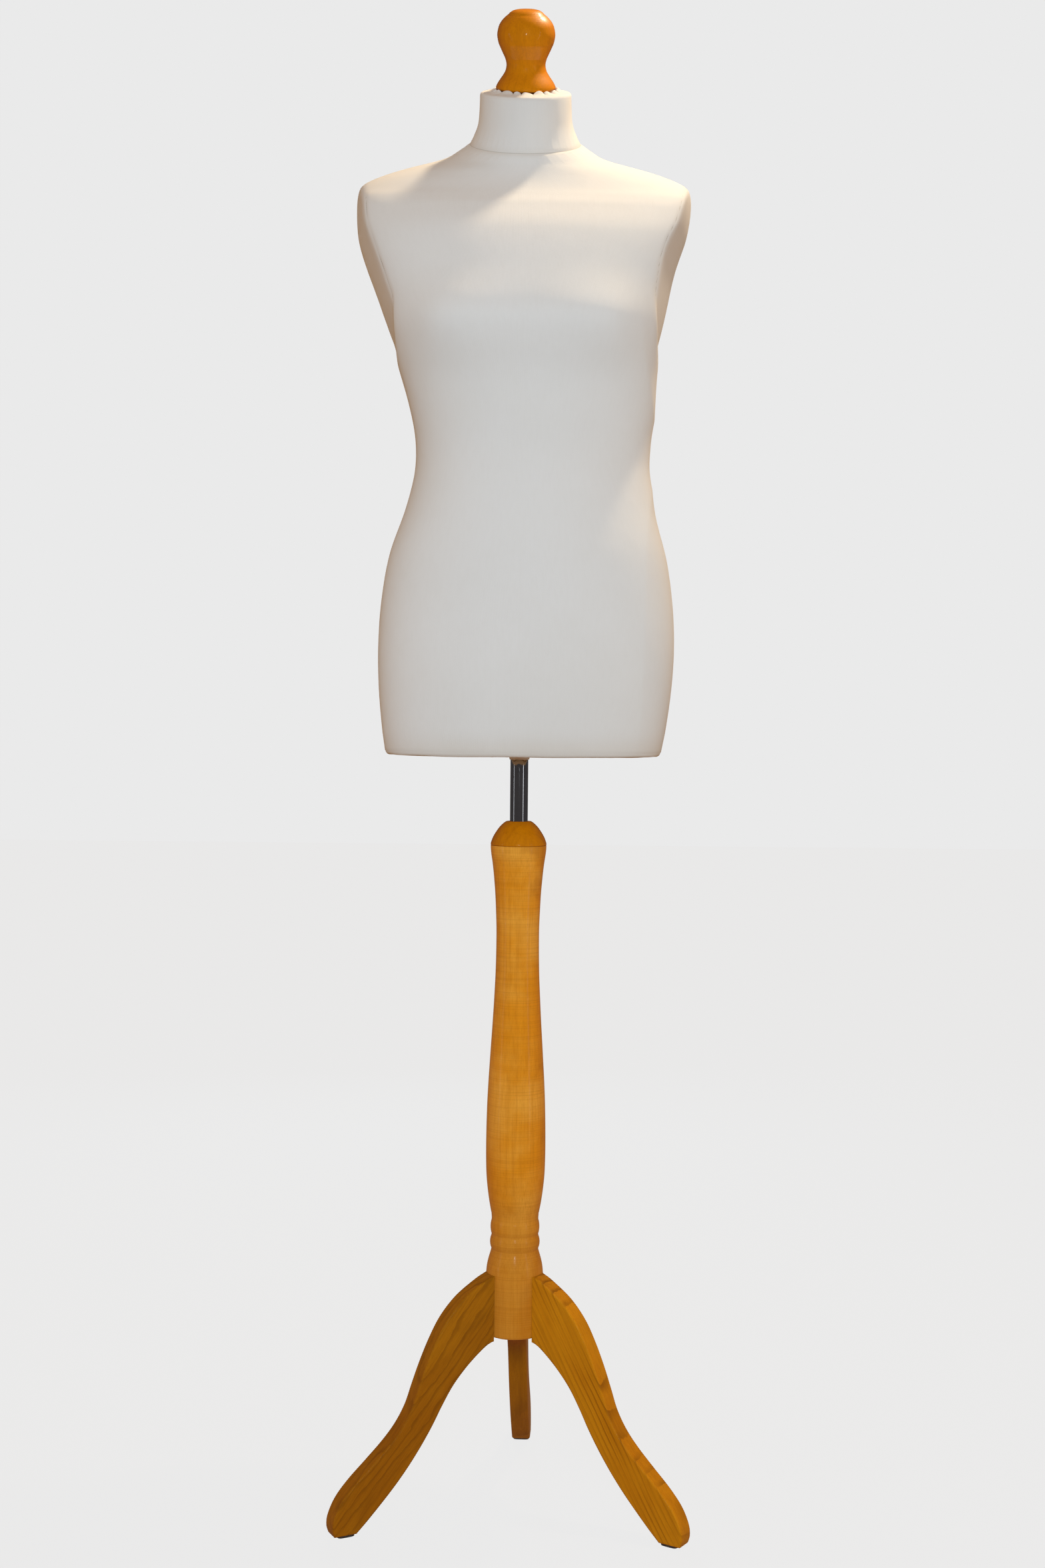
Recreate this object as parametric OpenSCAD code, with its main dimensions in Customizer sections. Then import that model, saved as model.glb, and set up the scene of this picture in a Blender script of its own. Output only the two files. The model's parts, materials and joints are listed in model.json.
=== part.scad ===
// Dress form mannequin: a jersey-covered torso on a telescopic pole, a turned column and three legs.
// Millimetres, +Z up, -Y is the front. The floor is z = 0 and the origin is the middle of the footprint.

/* [Stand] */
// Length of the column, up to the joint with its domed cap
column_h = 547; // [542:1:552]
// Rise of the domed cap above its joint
cap_h = 27; // [25:1:29]
// Radius of the column's foot, where the legs are fixed
column_foot_r = 32; // [31:0.5:33]
// Thickness of the leg planks
leg_t = 22; // [18:1:24]
// Turn of the three legs about the column
leg_turn = 2.8; // [0:0.1:6]
// Thickness of the pads under the feet
pad_t = 2; // [2:0.5:4]

/* [Pole] */
// Outer radius of the pole
pole_r = 9.9; // [9.5:0.1:10]
// Wall of the pole's tube
pole_wall = 1.2; // [1:0.1:2]
// Height of the pole's lower end at rest
pole_low_z = 340; // [335:5:400]
// Length of pole held inside the torso
pole_in_torso = 100; // [80:5:120]

/* [Torso] */
// Height of the torso's underside above the floor
torso_z = 842; // [835:1:850]
// Thickness of the moulded shells
shell_t = 4; // [3:0.5:5]
// Thickness of the jersey cover
cover_t = 1.2; // [1:0.1:1.5]
// How far the cover stands off the waist on the +X side, where it spans the hollow
waist_slack = 19; // [0:1:22]
// How far it stands off the hips on that side
hip_slack = 13; // [0:1:15]
// Forward swell of the bust
bust_h = 18; // [8:1:20]

/* [Hidden] */
$fn = 48;

// The pole's axis stands in front of the footprint's middle, because one leg points backwards
axis_y = -46;

// Clearances: a running fit between a shaft and its bore, a gap between parts that only meet, and
// a loose hole round a bolt or pad
run_gap = 0.05;
rest_gap = 0.1;
loose_gap = 0.3;
cut = 1;

// Colours
beech = [0.76, 0.46, 0.10];
beech_pale = [0.83, 0.60, 0.30];
raw_wood = [0.86, 0.74, 0.55];
jersey = [0.93, 0.91, 0.86];
grp = [0.80, 0.79, 0.72];
chromed = [0.80, 0.81, 0.83];
brass = [0.80, 0.65, 0.28];
zinc = [0.66, 0.67, 0.68];
dark = [0.10, 0.09, 0.09];
nylon = [0.85, 0.85, 0.90];

// Height of the column's underside above the floor, to which the legs are drawn
column_foot_z = 193;

// The column: a cavity in its foot for the leg nuts, a bore, and a bush at its top for the pole
column_top_z = column_foot_z + column_h;
cavity_r = 18;
cavity_top_z = column_foot_z + 69;
column_bore_r = pole_r + 0.7;
bush_r = 13;
bush_low_z = column_top_z - 45;
bush_high_z = column_top_z - 5;
tenon_h = 4;
cap_bore_r = pole_r + 0.4;
plug_in = 8;
plug_rim_r = cavity_r + 5;
plug_rim_t = 2;

// The clamp stud runs along +Y at this height, behind the pole
clamp_z = column_top_z - 62;
stud_r = 3.95;
insert_r = 6;
insert_in = 14;
insert_out = 24.6;
insert_rim_r = 8;
insert_rim_t = 1.5;
pad_r = 3.9;
pad_in = pole_r + rest_gap;
pad_out = pad_in + 2.2;
hub_r = 7;
hub_at = 31;
hub_t = 3;
grip_r = 11.5;
grip_t = 10;
grip_end_t = 3;
flute_r = 2.4;
flutes = 12;

// Leg fasteners, all radial through the column's foot
bolt_z = column_foot_z + 33;
dowel_zs = [column_foot_z + 14, column_foot_z + 52];
dowel_r = 4;
dowel_in = 22;
dowel_out = 48;
bolt_r = 4;
bolt_in = 7;
bolt_out = 66;
washer_r = 8;
washer_t = 1.4;
washer_at = 14.5;
nut_t = 6.5;
nut_r = 7.5;

// Directions of the legs, in degrees from +X
leg_angles = [-150 - leg_turn, -30 - leg_turn, 90 - leg_turn];
leg_root_r = column_foot_r + run_gap;
foot_pad_at = 194;
foot_pad_l = 20;
foot_pad_inset = 1;

// Pole plugs
foot_plug_rim = 6;
foot_plug_in = 24;
top_plug_rim = 3;
top_plug_in = 20;
pole_tube_r = pole_r - pole_wall;
pole_high_z = torso_z + pole_in_torso;

// The frame of the neck's top, which leans forward, and what stands on it
neck_tilt = 23.7;
neck_top_y = -8;
neck_top_h = 723.8;
neck_r = 48.5;
neck_board_r = neck_r - shell_t - 2;
neck_board_t = 18;
knob_dowel_r = 6;
knob_socket_r = 9;
knob_socket_depth = 30;
knob_socket_floor = 2;
knob_dowel_depth = 26;
knob_dowel_up = 20;
cover_neck_hole_r = 19;

// The socket that stands on the pole, and the board that carries it
socket_r = 12.2;
socket_collar_h = 6.5;
socket_collar_r = 10.9;
socket_flange_r = 42;
socket_flange_t = 5;
socket_roof_t = 4;
board_t = 12;
board_inset = 5.8;
flange_z = board_t + 2 * rest_gap;
screw_ring_r = 32;
screw_r = 1.8;
screw_head_r = 3.8;
screw_head_t = 2.2;
screw_tip_z = 3;
screw_angles = [45, 135, 225, 315];

// The cover: gap over the shells, and the widths of the hem and of the elastic inside its edge
cover_gap = 0.4;
hem_w = 26;
elastic_w = 6;
elastic_t = 1.2;
neck_elastic_r = 17.9;
neck_elastic_t = 0.7;

// Torso sections: height above the underside, half width, middle, front, back, squareness, forward lean
sections = [
    [0, 146.5, -11, 84, 110, 2.3, 0],
    [28, 150.4, -12, 86, 118, 2.3, 0],
    [73, 154.3, -12, 88, 128, 2.3, 0],
    [118, 155.2, -12, 87, 132, 2.3, 0],
    [168, 152, -11, 87, 126, 2.25, 0],
    [218, 143.5, -10, 87, 109, 2.2, 0],
    [268, 126.5, -8, 84, 90, 2.2, 0],
    [305, 117.3, -6, 82, 77, 2.2, 0],
    [330, 115.5, -5, 82, 74, 2.2, 0],
    [358, 118, -6, 84, 76, 2.2, 0],
    [398, 128, -6, 90, 82, 2.25, 0],
    [438, 142.5, -5, 100, 90, 2.3, 0],
    [470, 158, -3, 107, 95, 2.3, 0],
    [508, 173, 2, 108, 98, 2.3, 0],
    [558, 196, 9, 98, 96, 2.3, 0],
    [593, 206, 14, 84, 87, 2.3, 4],
    [609, 204, 16, 76, 79, 2.3, 8],
    [618, 193, 17, 71, 75, 2.2, 10],
    [630, 168, 17, 65, 70, 2.1, 13],
    [640, 136, 17, 62, 66, 2, 16],
    [651, 90, 16, 60, 61, 2, 20],
    [660, 72, 15.5, 60, 58, 2, 23],
    [668, 60.5, 14, 59, 56, 2, 25],
    [680, 54.5, 9, 55, 54, 2, 25],
    [693, 50.5, 3, 51.5, 51.5, 2, 24.5],
    [708, 49.2, -3, 49.6, 49.6, 2, 24],
    [727.3, 48.5, -8.7, 48.5, 48.5, 2, 23.7]
];
top_h = sections[len(sections) - 1][0];

// The cut arms: flat oval plates that slope inwards on the way down and turn a little to the front
plate_low_h = 455;
plate_low_x = 150;
plate_slope = 0.325;
plate_x = 189;
plate_bend = 4;
plate_round = 8;
plate_turn = 0.17;
plate_back_y = 45;
plate_oval = 30;
plate_half_w = 55;
plate_fade = 40;
plate_fade_h = 50;

// The +X plate is hollowed a little more than the other
plate_tuck = 9.5;
plate_tuck_h = 548;
plate_tuck_reach = 48;

// The bust's two swells, with the hollow between them mostly spanned
bust_x = 88;
bust_at_h = 457;
bust_out = 42;
bust_tall = 38;
bust_dip = 0.4;

// Where the cover stands off: heights and reaches above and below
waist_h = 345;
waist_reach = 80;
hip_h = 170;
hip_reach = 230;
slack_from_x = 120;

// Rings of the torso's surface, closer together over the shoulders
levels = concat(
    [for (i = [0:17]) i * 31],
    [for (i = [0:4]) 555 + i * 12],
    [for (i = [0:8]) 612 + i * 6.2],
    [668, 677, 688, 700, 713, top_h]
);
segments = 48;

// ---------- curves ----------

function knot(t, x, i = 0) = (i >= len(t) - 2 || x < t[i + 1][0]) ? i : knot(t, x, i + 1);

function slope(t, i, c) =
    let (a = max(i - 1, 0), b = min(i + 1, len(t) - 1))
    (t[b][c] - t[a][c]) / (t[b][0] - t[a][0]);

// Column c of table t at x, smoothly between its rows
function at(t, x, c) =
    let (i = knot(t, x), h = t[i + 1][0] - t[i][0], u = (x - t[i][0]) / h, v = 1 - u)
    v * v * (1 + 2 * u) * t[i][c] + u * u * (3 - 2 * u) * t[i + 1][c]
        + h * u * v * (v * slope(t, i, c) - u * slope(t, i + 1, c));

// A smooth open curve through points, with n steps between neighbours
function through(p, n) = concat([
    for (i = [0:len(p) - 2], k = [0:n - 1])
        let (
            a = p[max(i - 1, 0)], b = p[i], c = p[i + 1], d = p[min(i + 2, len(p) - 1)],
            u = k / n
        )
        0.5 * (2 * b + (c - a) * u + (2 * a - 5 * b + 4 * c - d) * u * u
            + (3 * b - a - 3 * c + d) * u * u * u)
], [p[len(p) - 1]]);

function signed_pow(v, e) = sign(v) * pow(abs(v), e);

function soft_min(a, b, k) = (a + b - sqrt((a - b) * (a - b) + k * k)) / 2;

// ---------- the torso's surface ----------

// One section row, worked out at height h
function section(h) = [for (c = [0:6]) c == 0 ? h : at(sections, h, c)];

// How far out the arm's plate lets the surface go at height h and depth y
function plate(h, y) =
    let (low = plate_low_h + plate_oval * pow(y / plate_half_w, 2))
    soft_min(plate_x, plate_low_x + plate_slope * (h - plate_low_h), plate_bend)
        + plate_turn * min(y - plate_back_y, 0)
        + plate_fade * pow(max(low - h, 0) / plate_fade_h, 2);

// How much further in the +X plate lies at height h
function tuck(h) = plate_tuck * exp(-pow((h - plate_tuck_h) / plate_tuck_reach, 2));

// How far the bust stands forward at x and height h
function bust(x, h) =
    let (
        across = abs(x) > bust_x
            ? exp(-pow((abs(x) - bust_x) / bust_out, 2))
            : 1 - bust_dip * pow(1 - pow(x / bust_x, 2), 2)
    )
    bust_h * across * exp(-pow((h - bust_at_h) / bust_tall, 2));

// The point at angle a on section s, moved inwards by inset in the section's own plane
function torso_point(s, a, inset = 0) =
    let (
        e = 2 / s[5],
        depth = sin(a) < 0 ? s[3] - inset : s[4] - inset,
        y_plain = s[2] + depth * signed_pow(sin(a), e),
        x_plain = (s[1] - inset) * signed_pow(cos(a), e),
        limit = plate(s[0], y_plain) - inset - (x_plain > 0 ? tuck(s[0]) : 0),
        x = sign(x_plain) * max(soft_min(abs(x_plain), limit, plate_round), 0),
        y = y_plain - (sin(a) < 0 ? bust(x, s[0]) * sqrt(-sin(a)) : 0)
    )
    [x, y * cos(s[6]), s[0] + y * sin(s[6])];

// A ring of points at height h, over the given segments
function ring(h, inset = 0, first = 0, last = segments - 1) =
    let (s = section(h))
    [for (i = [first:last]) torso_point(s, i * 360 / segments, inset)];

function unit(v) = v / norm(v);

// Normals of a grid of points. closed says that each row runs all the way round
function grid_normals(g, closed) = [
    for (r = [0:len(g) - 1]) let (n = len(g[r])) [
        for (i = [0:n - 1])
            let (
                up = g[min(r + 1, len(g) - 1)][i] - g[max(r - 1, 0)][i],
                next = closed ? g[r][(i + 1) % n] : g[r][min(i + 1, n - 1)],
                last = closed ? g[r][(i + n - 1) % n] : g[r][max(i - 1, 0)]
            )
            unit(cross(next - last, up))
    ]
];

function offset_grid(g, normals, d) = [
    for (r = [0:len(g) - 1]) [for (i = [0:len(g[r]) - 1]) g[r][i] + d * normals[r][i]]
];

function flat_list(g) = [for (row = g, p = row) p];

// A closed skin between two grids of the same size
module skin(outer, inner, closed) {
    rows = len(outer);
    n = len(outer[0]);
    half = rows * n;
    spans = closed ? n : n - 1;
    function id(side, r, i) = side * half + r * n + i % n;
    sheets = [
        for (side = [0, 1], r = [0:rows - 2], i = [0:spans - 1])
            let (
                a = id(side, r, i), b = id(side, r, i + 1),
                c = id(side, r + 1, i + 1), d = id(side, r + 1, i)
            )
            each side == 0 ? [[a, c, b], [a, d, c]] : [[a, b, c], [a, c, d]]
    ];
    rims = [
        for (end = [0, 1], i = [0:spans - 1])
            let (
                r = end * (rows - 1),
                a = id(0, r, i), b = id(0, r, i + 1), c = id(1, r, i + 1), d = id(1, r, i)
            )
            each end == 0 ? [[a, b, c], [a, c, d]] : [[a, c, b], [a, d, c]]
    ];
    sides = closed ? [] : [
        for (end = [0, 1], r = [0:rows - 2])
            let (
                i = end * (n - 1),
                a = id(0, r, i), b = id(0, r + 1, i), c = id(1, r + 1, i), d = id(1, r, i)
            )
            each end == 0 ? [[a, c, b], [a, d, c]] : [[a, b, c], [a, c, d]]
    ];
    polyhedron(points = concat(flat_list(outer), flat_list(inner)), faces = concat(sheets, rims, sides));
}

// ---------- placing ----------

module on_axis() { translate([0, axis_y, 0]) children(); }

module on_torso() { translate([0, axis_y, torso_z]) children(); }

module on_neck() {
    on_torso() translate([0, neck_top_y, neck_top_h]) rotate([neck_tilt, 0, 0]) children();
}

// A rod of radius r along +X from a to b
module rod_x(r, a, b) { translate([a, 0, 0]) rotate([0, 90, 0]) cylinder(r = r, h = b - a); }

// A rod of radius r along +Y from a to b
module rod_y(r, a, b) { translate([0, a, 0]) rotate([-90, 0, 0]) cylinder(r = r, h = b - a); }

module on_legs() {
    on_axis() for (a = leg_angles) rotate([0, 0, a]) children();
}

// ---------- stand ----------

// The turned outline's long swell, from the beads up to the cap: height above the underside, radius
swell = [
    [137, 26.9], [149, 29.1], [167, 31.5], [185, 32.8], [215, 33.2], [257, 32.4], [281, 31.3],
    [305, 29.9], [329, 28.4], [353, 26.9], [377, 25.6], [401, 24.5], [427, 23.9], [452, 23.8],
    [466, 24.2], [490, 25.3], [508, 26.7], [526, 28.6], [538, 30.4], [547, 31.2]
];
swell_low = swell[0][0];
swell_span = swell[len(swell) - 1][0] - swell_low;
swell_steps = 38;

// A bead between heights a and b that stands proud of radius r by d
function bead(r, d, a, b) = [for (i = [0:8]) [r + d * sin(i * 22.5), a + (b - a) * i / 8]];

// Radius, height above the column's underside
column_outline = concat(
    [[0, 0], [column_foot_r - 1.5, 0], [column_foot_r, 1.5]],
    [[column_foot_r, 65], [31.6, 71], [30.8, 77], [29.6, 83], [27.8, 89], [26.6, 93]],
    bead(26.3, 1.4, 96, 110),
    bead(26.1, 1.1, 112, 128),
    [[26.2, 131], [26.4, 134]],
    [
        for (i = [0:swell_steps])
            let (u = i / swell_steps)
            [at(swell, swell_low + u * swell_span, 1), swell_low + u * (column_h - swell_low)]
    ],
    [[0, column_h]]
);

module column() {
    color(beech_pale) on_axis() difference() {
        translate([0, 0, column_foot_z]) rotate_extrude() polygon(column_outline);
        translate([0, 0, column_foot_z - cut]) cylinder(r = cavity_r, h = cavity_top_z - column_foot_z + cut);
        translate([0, 0, cavity_top_z - cut])
            cylinder(r = column_bore_r, h = column_top_z - cavity_top_z + 2 * cut);
        translate([0, 0, bush_low_z]) cylinder(r = bush_r, h = column_top_z - bush_low_z + cut);
        translate([0, 0, clamp_z]) {
            rod_y(pad_r + loose_gap, pole_r - cut, insert_in + cut);
            rod_y(insert_r, insert_in, insert_out);
            rod_y(insert_rim_r + cut, insert_out - rest_gap, hub_at);
        }
        for (a = leg_angles) rotate([0, 0, a]) {
            translate([0, 0, bolt_z]) rod_x(bolt_r + loose_gap, washer_at, column_foot_r + cut);
            for (z = dowel_zs) translate([0, 0, z]) rod_x(dowel_r, dowel_in, column_foot_r + cut);
        }
    }
}

// The cap's dome: height above the joint, radius
dome = [[0, 31.2], [3, 30.8], [9, 28.6], [15, 25.2], [21, 20.8], [25, 16.6], [27, 13.6]];
dome_h = 27;
dome_steps = 18;
cap_edge_r = 30.4;
cap_edge_h = 0.7;

module column_cap() {
    color(beech) on_axis() translate([0, 0, column_top_z]) difference() {
        union() {
            rotate_extrude() polygon(concat(
                [[0, 0], [cap_edge_r, 0]],
                [
                    for (i = [0:dome_steps])
                        let (u = i / dome_steps)
                        [at(dome, u * dome_h, 1), max(u * cap_h, cap_edge_h)]
                ],
                [[0, cap_h]]
            ));
            translate([0, 0, -tenon_h]) cylinder(r = bush_r - rest_gap, h = tenon_h + cut);
        }
        translate([0, 0, -tenon_h - cut]) cylinder(r = cap_bore_r, h = cap_h + tenon_h + 2 * cut);
    }
}

module pole_bush() {
    color(nylon) on_axis() translate([0, 0, bush_low_z]) difference() {
        cylinder(r = bush_r, h = bush_high_z - bush_low_z);
        translate([0, 0, -cut]) cylinder(r = pole_r + run_gap, h = bush_high_z - bush_low_z + 2 * cut);
    }
}

module clamp_insert() {
    color(brass) on_axis() translate([0, 0, clamp_z]) difference() {
        union() {
            rod_y(insert_r, insert_in, insert_out);
            rod_y(insert_rim_r, insert_out, insert_out + insert_rim_t);
        }
        rod_y(stud_r + run_gap, insert_in - cut, insert_out + insert_rim_t + cut);
    }
}

module column_plug() {
    color(dark) on_axis() translate([0, 0, column_foot_z]) {
        cylinder(r = cavity_r - rest_gap, h = plug_in);
        translate([0, 0, -plug_rim_t]) cylinder(r = plug_rim_r, h = plug_rim_t);
    }
}

// A leg's outline in its own upright plane: distance from the axis, height
leg_top = [
    [20, 264], [34, 261.5], [47, 255], [69, 240], [87.5, 220], [101, 197], [112.5, 172], [121.5, 149], [129.5, 128],
    [141, 109], [156, 92], [175.5, 74], [195.5, 56], [210.5, 39], [219, 22], [220.5, 10], [218, pad_t]
];
leg_under = [
    [193, pad_t], [180, 14], [162, 32], [146, 49], [131, 67], [117, 86], [104, 106], [92, 127], [79, 147],
    [63, 165], [46, 180], [34, 188], [20, 193]
];
leg_steps = 4;
leg_cut_h = 110;

module leg(angle) {
    color(beech) on_axis() rotate([0, 0, angle]) difference() {
        rotate([90, 0, 0]) translate([0, 0, -leg_t / 2])
            linear_extrude(height = leg_t)
                polygon(concat(through(leg_top, leg_steps), through(leg_under, leg_steps)));
        translate([0, 0, column_foot_z - plug_rim_r]) cylinder(r = leg_root_r, h = leg_cut_h);
        translate([0, 0, bolt_z]) rod_x(bolt_r, leg_root_r - cut, bolt_out);
        for (z = dowel_zs) translate([0, 0, z]) rod_x(dowel_r, leg_root_r - cut, dowel_out);
    }
}

module leg_left() { leg(leg_angles[0]); }

module leg_right() { leg(leg_angles[1]); }

module leg_rear() { leg(leg_angles[2]); }

module leg_dowels() {
    color(raw_wood) on_legs() for (z = dowel_zs)
        translate([0, 0, z]) rod_x(dowel_r, dowel_in, dowel_out);
}

module hanger_bolts() {
    color(zinc) on_legs() translate([0, 0, bolt_z]) rod_x(bolt_r, bolt_in, bolt_out);
}

module bolt_washers() {
    color(zinc) on_legs() translate([0, 0, bolt_z]) difference() {
        rod_x(washer_r, washer_at - washer_t, washer_at);
        rod_x(bolt_r + loose_gap, washer_at - washer_t - cut, washer_at + cut);
    }
}

module bolt_nuts() {
    high = washer_at - washer_t - rest_gap;
    color(zinc) on_legs() translate([0, 0, bolt_z]) difference() {
        translate([high - nut_t, 0, 0]) rotate([0, 90, 0]) cylinder(r = nut_r, h = nut_t, $fn = 6);
        rod_x(bolt_r, high - nut_t - cut, high + cut);
    }
}

module foot_pad(angle) {
    color(dark) on_axis() rotate([0, 0, angle])
        translate([foot_pad_at, foot_pad_inset - leg_t / 2, 0])
            cube([foot_pad_l, leg_t - 2 * foot_pad_inset, pad_t]);
}

module foot_pad_left() { foot_pad(leg_angles[0]); }

module foot_pad_right() { foot_pad(leg_angles[1]); }

module foot_pad_rear() { foot_pad(leg_angles[2]); }

// ---------- mast ----------

module pole() {
    color(chromed) on_axis() translate([0, 0, pole_low_z]) difference() {
        cylinder(r = pole_r, h = pole_high_z - pole_low_z);
        translate([0, 0, -cut]) cylinder(r = pole_tube_r, h = pole_high_z - pole_low_z + 2 * cut);
    }
}

module pole_foot_plug() {
    color(dark) on_axis() translate([0, 0, pole_low_z]) {
        translate([0, 0, -foot_plug_rim]) cylinder(r = column_bore_r - run_gap, h = foot_plug_rim);
        cylinder(r = pole_tube_r, h = foot_plug_in);
    }
}

module pole_top_plug() {
    color(dark) on_axis() translate([0, 0, pole_high_z]) {
        cylinder(r = pole_r, h = top_plug_rim);
        translate([0, 0, -top_plug_in]) cylinder(r = pole_tube_r, h = top_plug_in);
    }
}

// ---------- height clamp ----------

grip_at = hub_at + hub_t;
stud_end = grip_at + grip_t - grip_end_t;

module clamp_pad() {
    color(brass) on_axis() translate([0, 0, clamp_z]) rod_y(pad_r, pad_in, pad_out);
}

module clamp_stud() {
    color(zinc) on_axis() translate([0, 0, clamp_z]) rod_y(stud_r, pad_out + rest_gap, stud_end);
}

module clamp_knob() {
    color(dark) on_axis() translate([0, 0, clamp_z]) difference() {
        union() {
            rod_y(hub_r, hub_at, grip_at);
            rod_y(grip_r, grip_at, grip_at + grip_t);
        }
        rod_y(stud_r, hub_at - cut, stud_end);
        for (i = [1:flutes]) rotate([0, i * 360 / flutes, 0])
            translate([grip_r + flute_r / 2, 0, 0]) rod_y(flute_r, grip_at - cut, grip_at + grip_t + cut);
    }
}

// ---------- torso ----------

// Half of the moulded body between segments first and last
module half_shell(first, last) {
    body = [for (h = levels) ring(h, 0, first, last)];
    whole = grid_normals([for (h = levels) ring(h)], true);
    normals = [for (row = whole) [for (i = [first:last]) row[i % segments]]];
    on_torso() skin(body, offset_grid(body, normals, -shell_t), false);
}

module front_shell() { color(grp) half_shell(segments / 2, segments); }

module back_shell() { color(grp) half_shell(0, segments / 2); }

// The section's outline at height h, moved inwards by inset
function outline(h, inset) = [for (p = ring(h, inset)) [p[0], p[1]]];

module base_board() {
    color(raw_wood) on_torso() translate([0, 0, rest_gap]) difference() {
        linear_extrude(height = board_t) polygon(outline(board_t / 2, board_inset));
        translate([0, 0, -cut]) cylinder(r = socket_r + rest_gap, h = board_t + 2 * cut);
        for (a = screw_angles) rotate([0, 0, a])
            translate([screw_ring_r, 0, screw_tip_z - cut]) cylinder(r = screw_r, h = board_t);
    }
}

module pole_socket() {
    top = pole_in_torso + top_plug_rim + loose_gap;
    flange_top = flange_z + socket_flange_t;
    color(nylon) on_torso() difference() {
        rotate_extrude() polygon([
            [0, -socket_collar_h], [socket_collar_r, -socket_collar_h], [socket_r, -cut], [socket_r, flange_z],
            [socket_flange_r, flange_z], [socket_flange_r, flange_top], [socket_r + 3, flange_top],
            [socket_r + 1, flange_top + 15], [socket_r + 1, top + socket_roof_t], [0, top + socket_roof_t]
        ]);
        translate([0, 0, -socket_collar_h - cut])
            cylinder(r = pole_r + run_gap, h = socket_collar_h + cut + top);
        for (a = screw_angles) rotate([0, 0, a])
            translate([screw_ring_r, 0, flange_z - cut])
                cylinder(r = screw_r + rest_gap, h = socket_flange_t + 2 * cut);
    }
}

module socket_screws() {
    head_z = flange_z + socket_flange_t + rest_gap;
    color(zinc) on_torso() for (a = screw_angles) rotate([0, 0, a]) translate([screw_ring_r, 0, 0]) {
        translate([0, 0, screw_tip_z]) cylinder(r = screw_r, h = head_z - screw_tip_z);
        translate([0, 0, head_z]) cylinder(r1 = screw_head_r, r2 = screw_head_r - 0.8, h = screw_head_t);
    }
}

module neck_board() {
    color(raw_wood) on_neck() translate([0, 0, -neck_board_t - rest_gap]) difference() {
        cylinder(r = neck_board_r, h = neck_board_t);
        translate([0, 0, -cut]) cylinder(r = knob_socket_r, h = neck_board_t + 2 * cut);
    }
}

module knob_socket() {
    color(brass) on_neck() translate([0, 0, -knob_socket_depth]) difference() {
        cylinder(r = knob_socket_r, h = knob_socket_depth - rest_gap);
        translate([0, 0, knob_socket_floor]) cylinder(r = knob_dowel_r + run_gap, h = knob_socket_depth);
    }
}

// How far the cover stands off the shells at p, on the +X side, where the cloth spans the waist
function slack(p) =
    let (side = min(max(p[0], 0) / slack_from_x, 1))
    pow(side, 3) * (
        waist_slack * exp(-pow((p[2] - waist_h) / waist_reach, 2))
            + hip_slack * exp(-pow((p[2] - hip_h) / hip_reach, 2))
    );

module jersey_cover() {
    rings = concat(
        [for (i = [2, 1]) ring(0, hem_w * i / 2)],
        [for (h = levels) ring(h)],
        [for (i = [1, 2]) ring(top_h, (neck_r - cover_neck_hole_r) * i / 2)]
    );
    shaped = [for (row = rings) [for (p = row) p + [slack(p), 0, 0]]];
    normals = grid_normals(shaped, true);
    outer = offset_grid(shaped, normals, cover_gap + cover_t);
    color(jersey) on_torso() skin(outer, offset_grid(shaped, normals, cover_gap), true);
}

module hem_elastic() {
    color(jersey) on_torso() translate([0, 0, -cover_gap - elastic_t])
        linear_extrude(height = elastic_t) difference() {
            polygon(outline(0, hem_w + 1.5));
            polygon(outline(0, hem_w + 1.5 + elastic_w));
        }
}

module neck_elastic() {
    color(jersey) on_neck() translate([0, 0, cover_gap + neck_elastic_t])
        rotate_extrude() translate([neck_elastic_r, 0]) circle(r = neck_elastic_t, $fn = 24);
}

// ---------- neck knob ----------

// The knob stands on a narrow foot inside the cover's neck hole. Above it: height, radius
knob_foot_r = 16.9;
knob_foot_h = 2.8;
knob_curve = [
    [3, 27], [4.2, 31], [6, 32.7], [8, 32.4], [11.4, 30.6], [15.5, 27.8], [19.7, 24.8], [23.8, 22.5],
    [30, 21.3], [36.2, 22.6], [40.3, 24.5], [44.4, 26.5], [48.5, 28.4], [52.5, 30.1], [60.7, 31.5],
    [68.8, 30], [72.9, 28], [76.9, 24.8], [81, 19.9], [85, 12]
];
knob_steps = 48;
knob_low = knob_curve[0][0];
knob_high = knob_curve[len(knob_curve) - 1][0];
knob_top_r = 6;
knob_top_h = 86.5;
knob_h = 87;

module neck_knob() {
    color(beech) on_neck() difference() {
        rotate_extrude() polygon(concat(
            [[0, 0], [knob_foot_r, 0], [knob_foot_r, knob_foot_h]],
            [
                for (i = [0:knob_steps])
                    let (h = knob_low + (knob_high - knob_low) * i / knob_steps)
                    [at(knob_curve, h, 1), h]
            ],
            [[knob_top_r, knob_top_h], [0, knob_h]]
        ));
        translate([0, 0, -cut]) cylinder(r = knob_dowel_r, h = knob_dowel_up + cut);
    }
}

module knob_dowel() {
    color(raw_wood) on_neck() translate([0, 0, -knob_dowel_depth])
        cylinder(r = knob_dowel_r, h = knob_dowel_depth + knob_dowel_up);
}

column();
column_cap();
pole_bush();
clamp_insert();
column_plug();
leg_left();
leg_right();
leg_rear();
leg_dowels();
hanger_bolts();
bolt_washers();
bolt_nuts();
foot_pad_left();
foot_pad_right();
foot_pad_rear();
pole();
pole_foot_plug();
pole_top_plug();
clamp_pad();
clamp_stud();
clamp_knob();
front_shell();
back_shell();
base_board();
pole_socket();
socket_screws();
neck_board();
knob_socket();
jersey_cover();
hem_elastic();
neck_elastic();
neck_knob();
knob_dowel();
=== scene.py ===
import json
import math

import bpy
import numpy as np
from mathutils import Matrix, Vector


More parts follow.
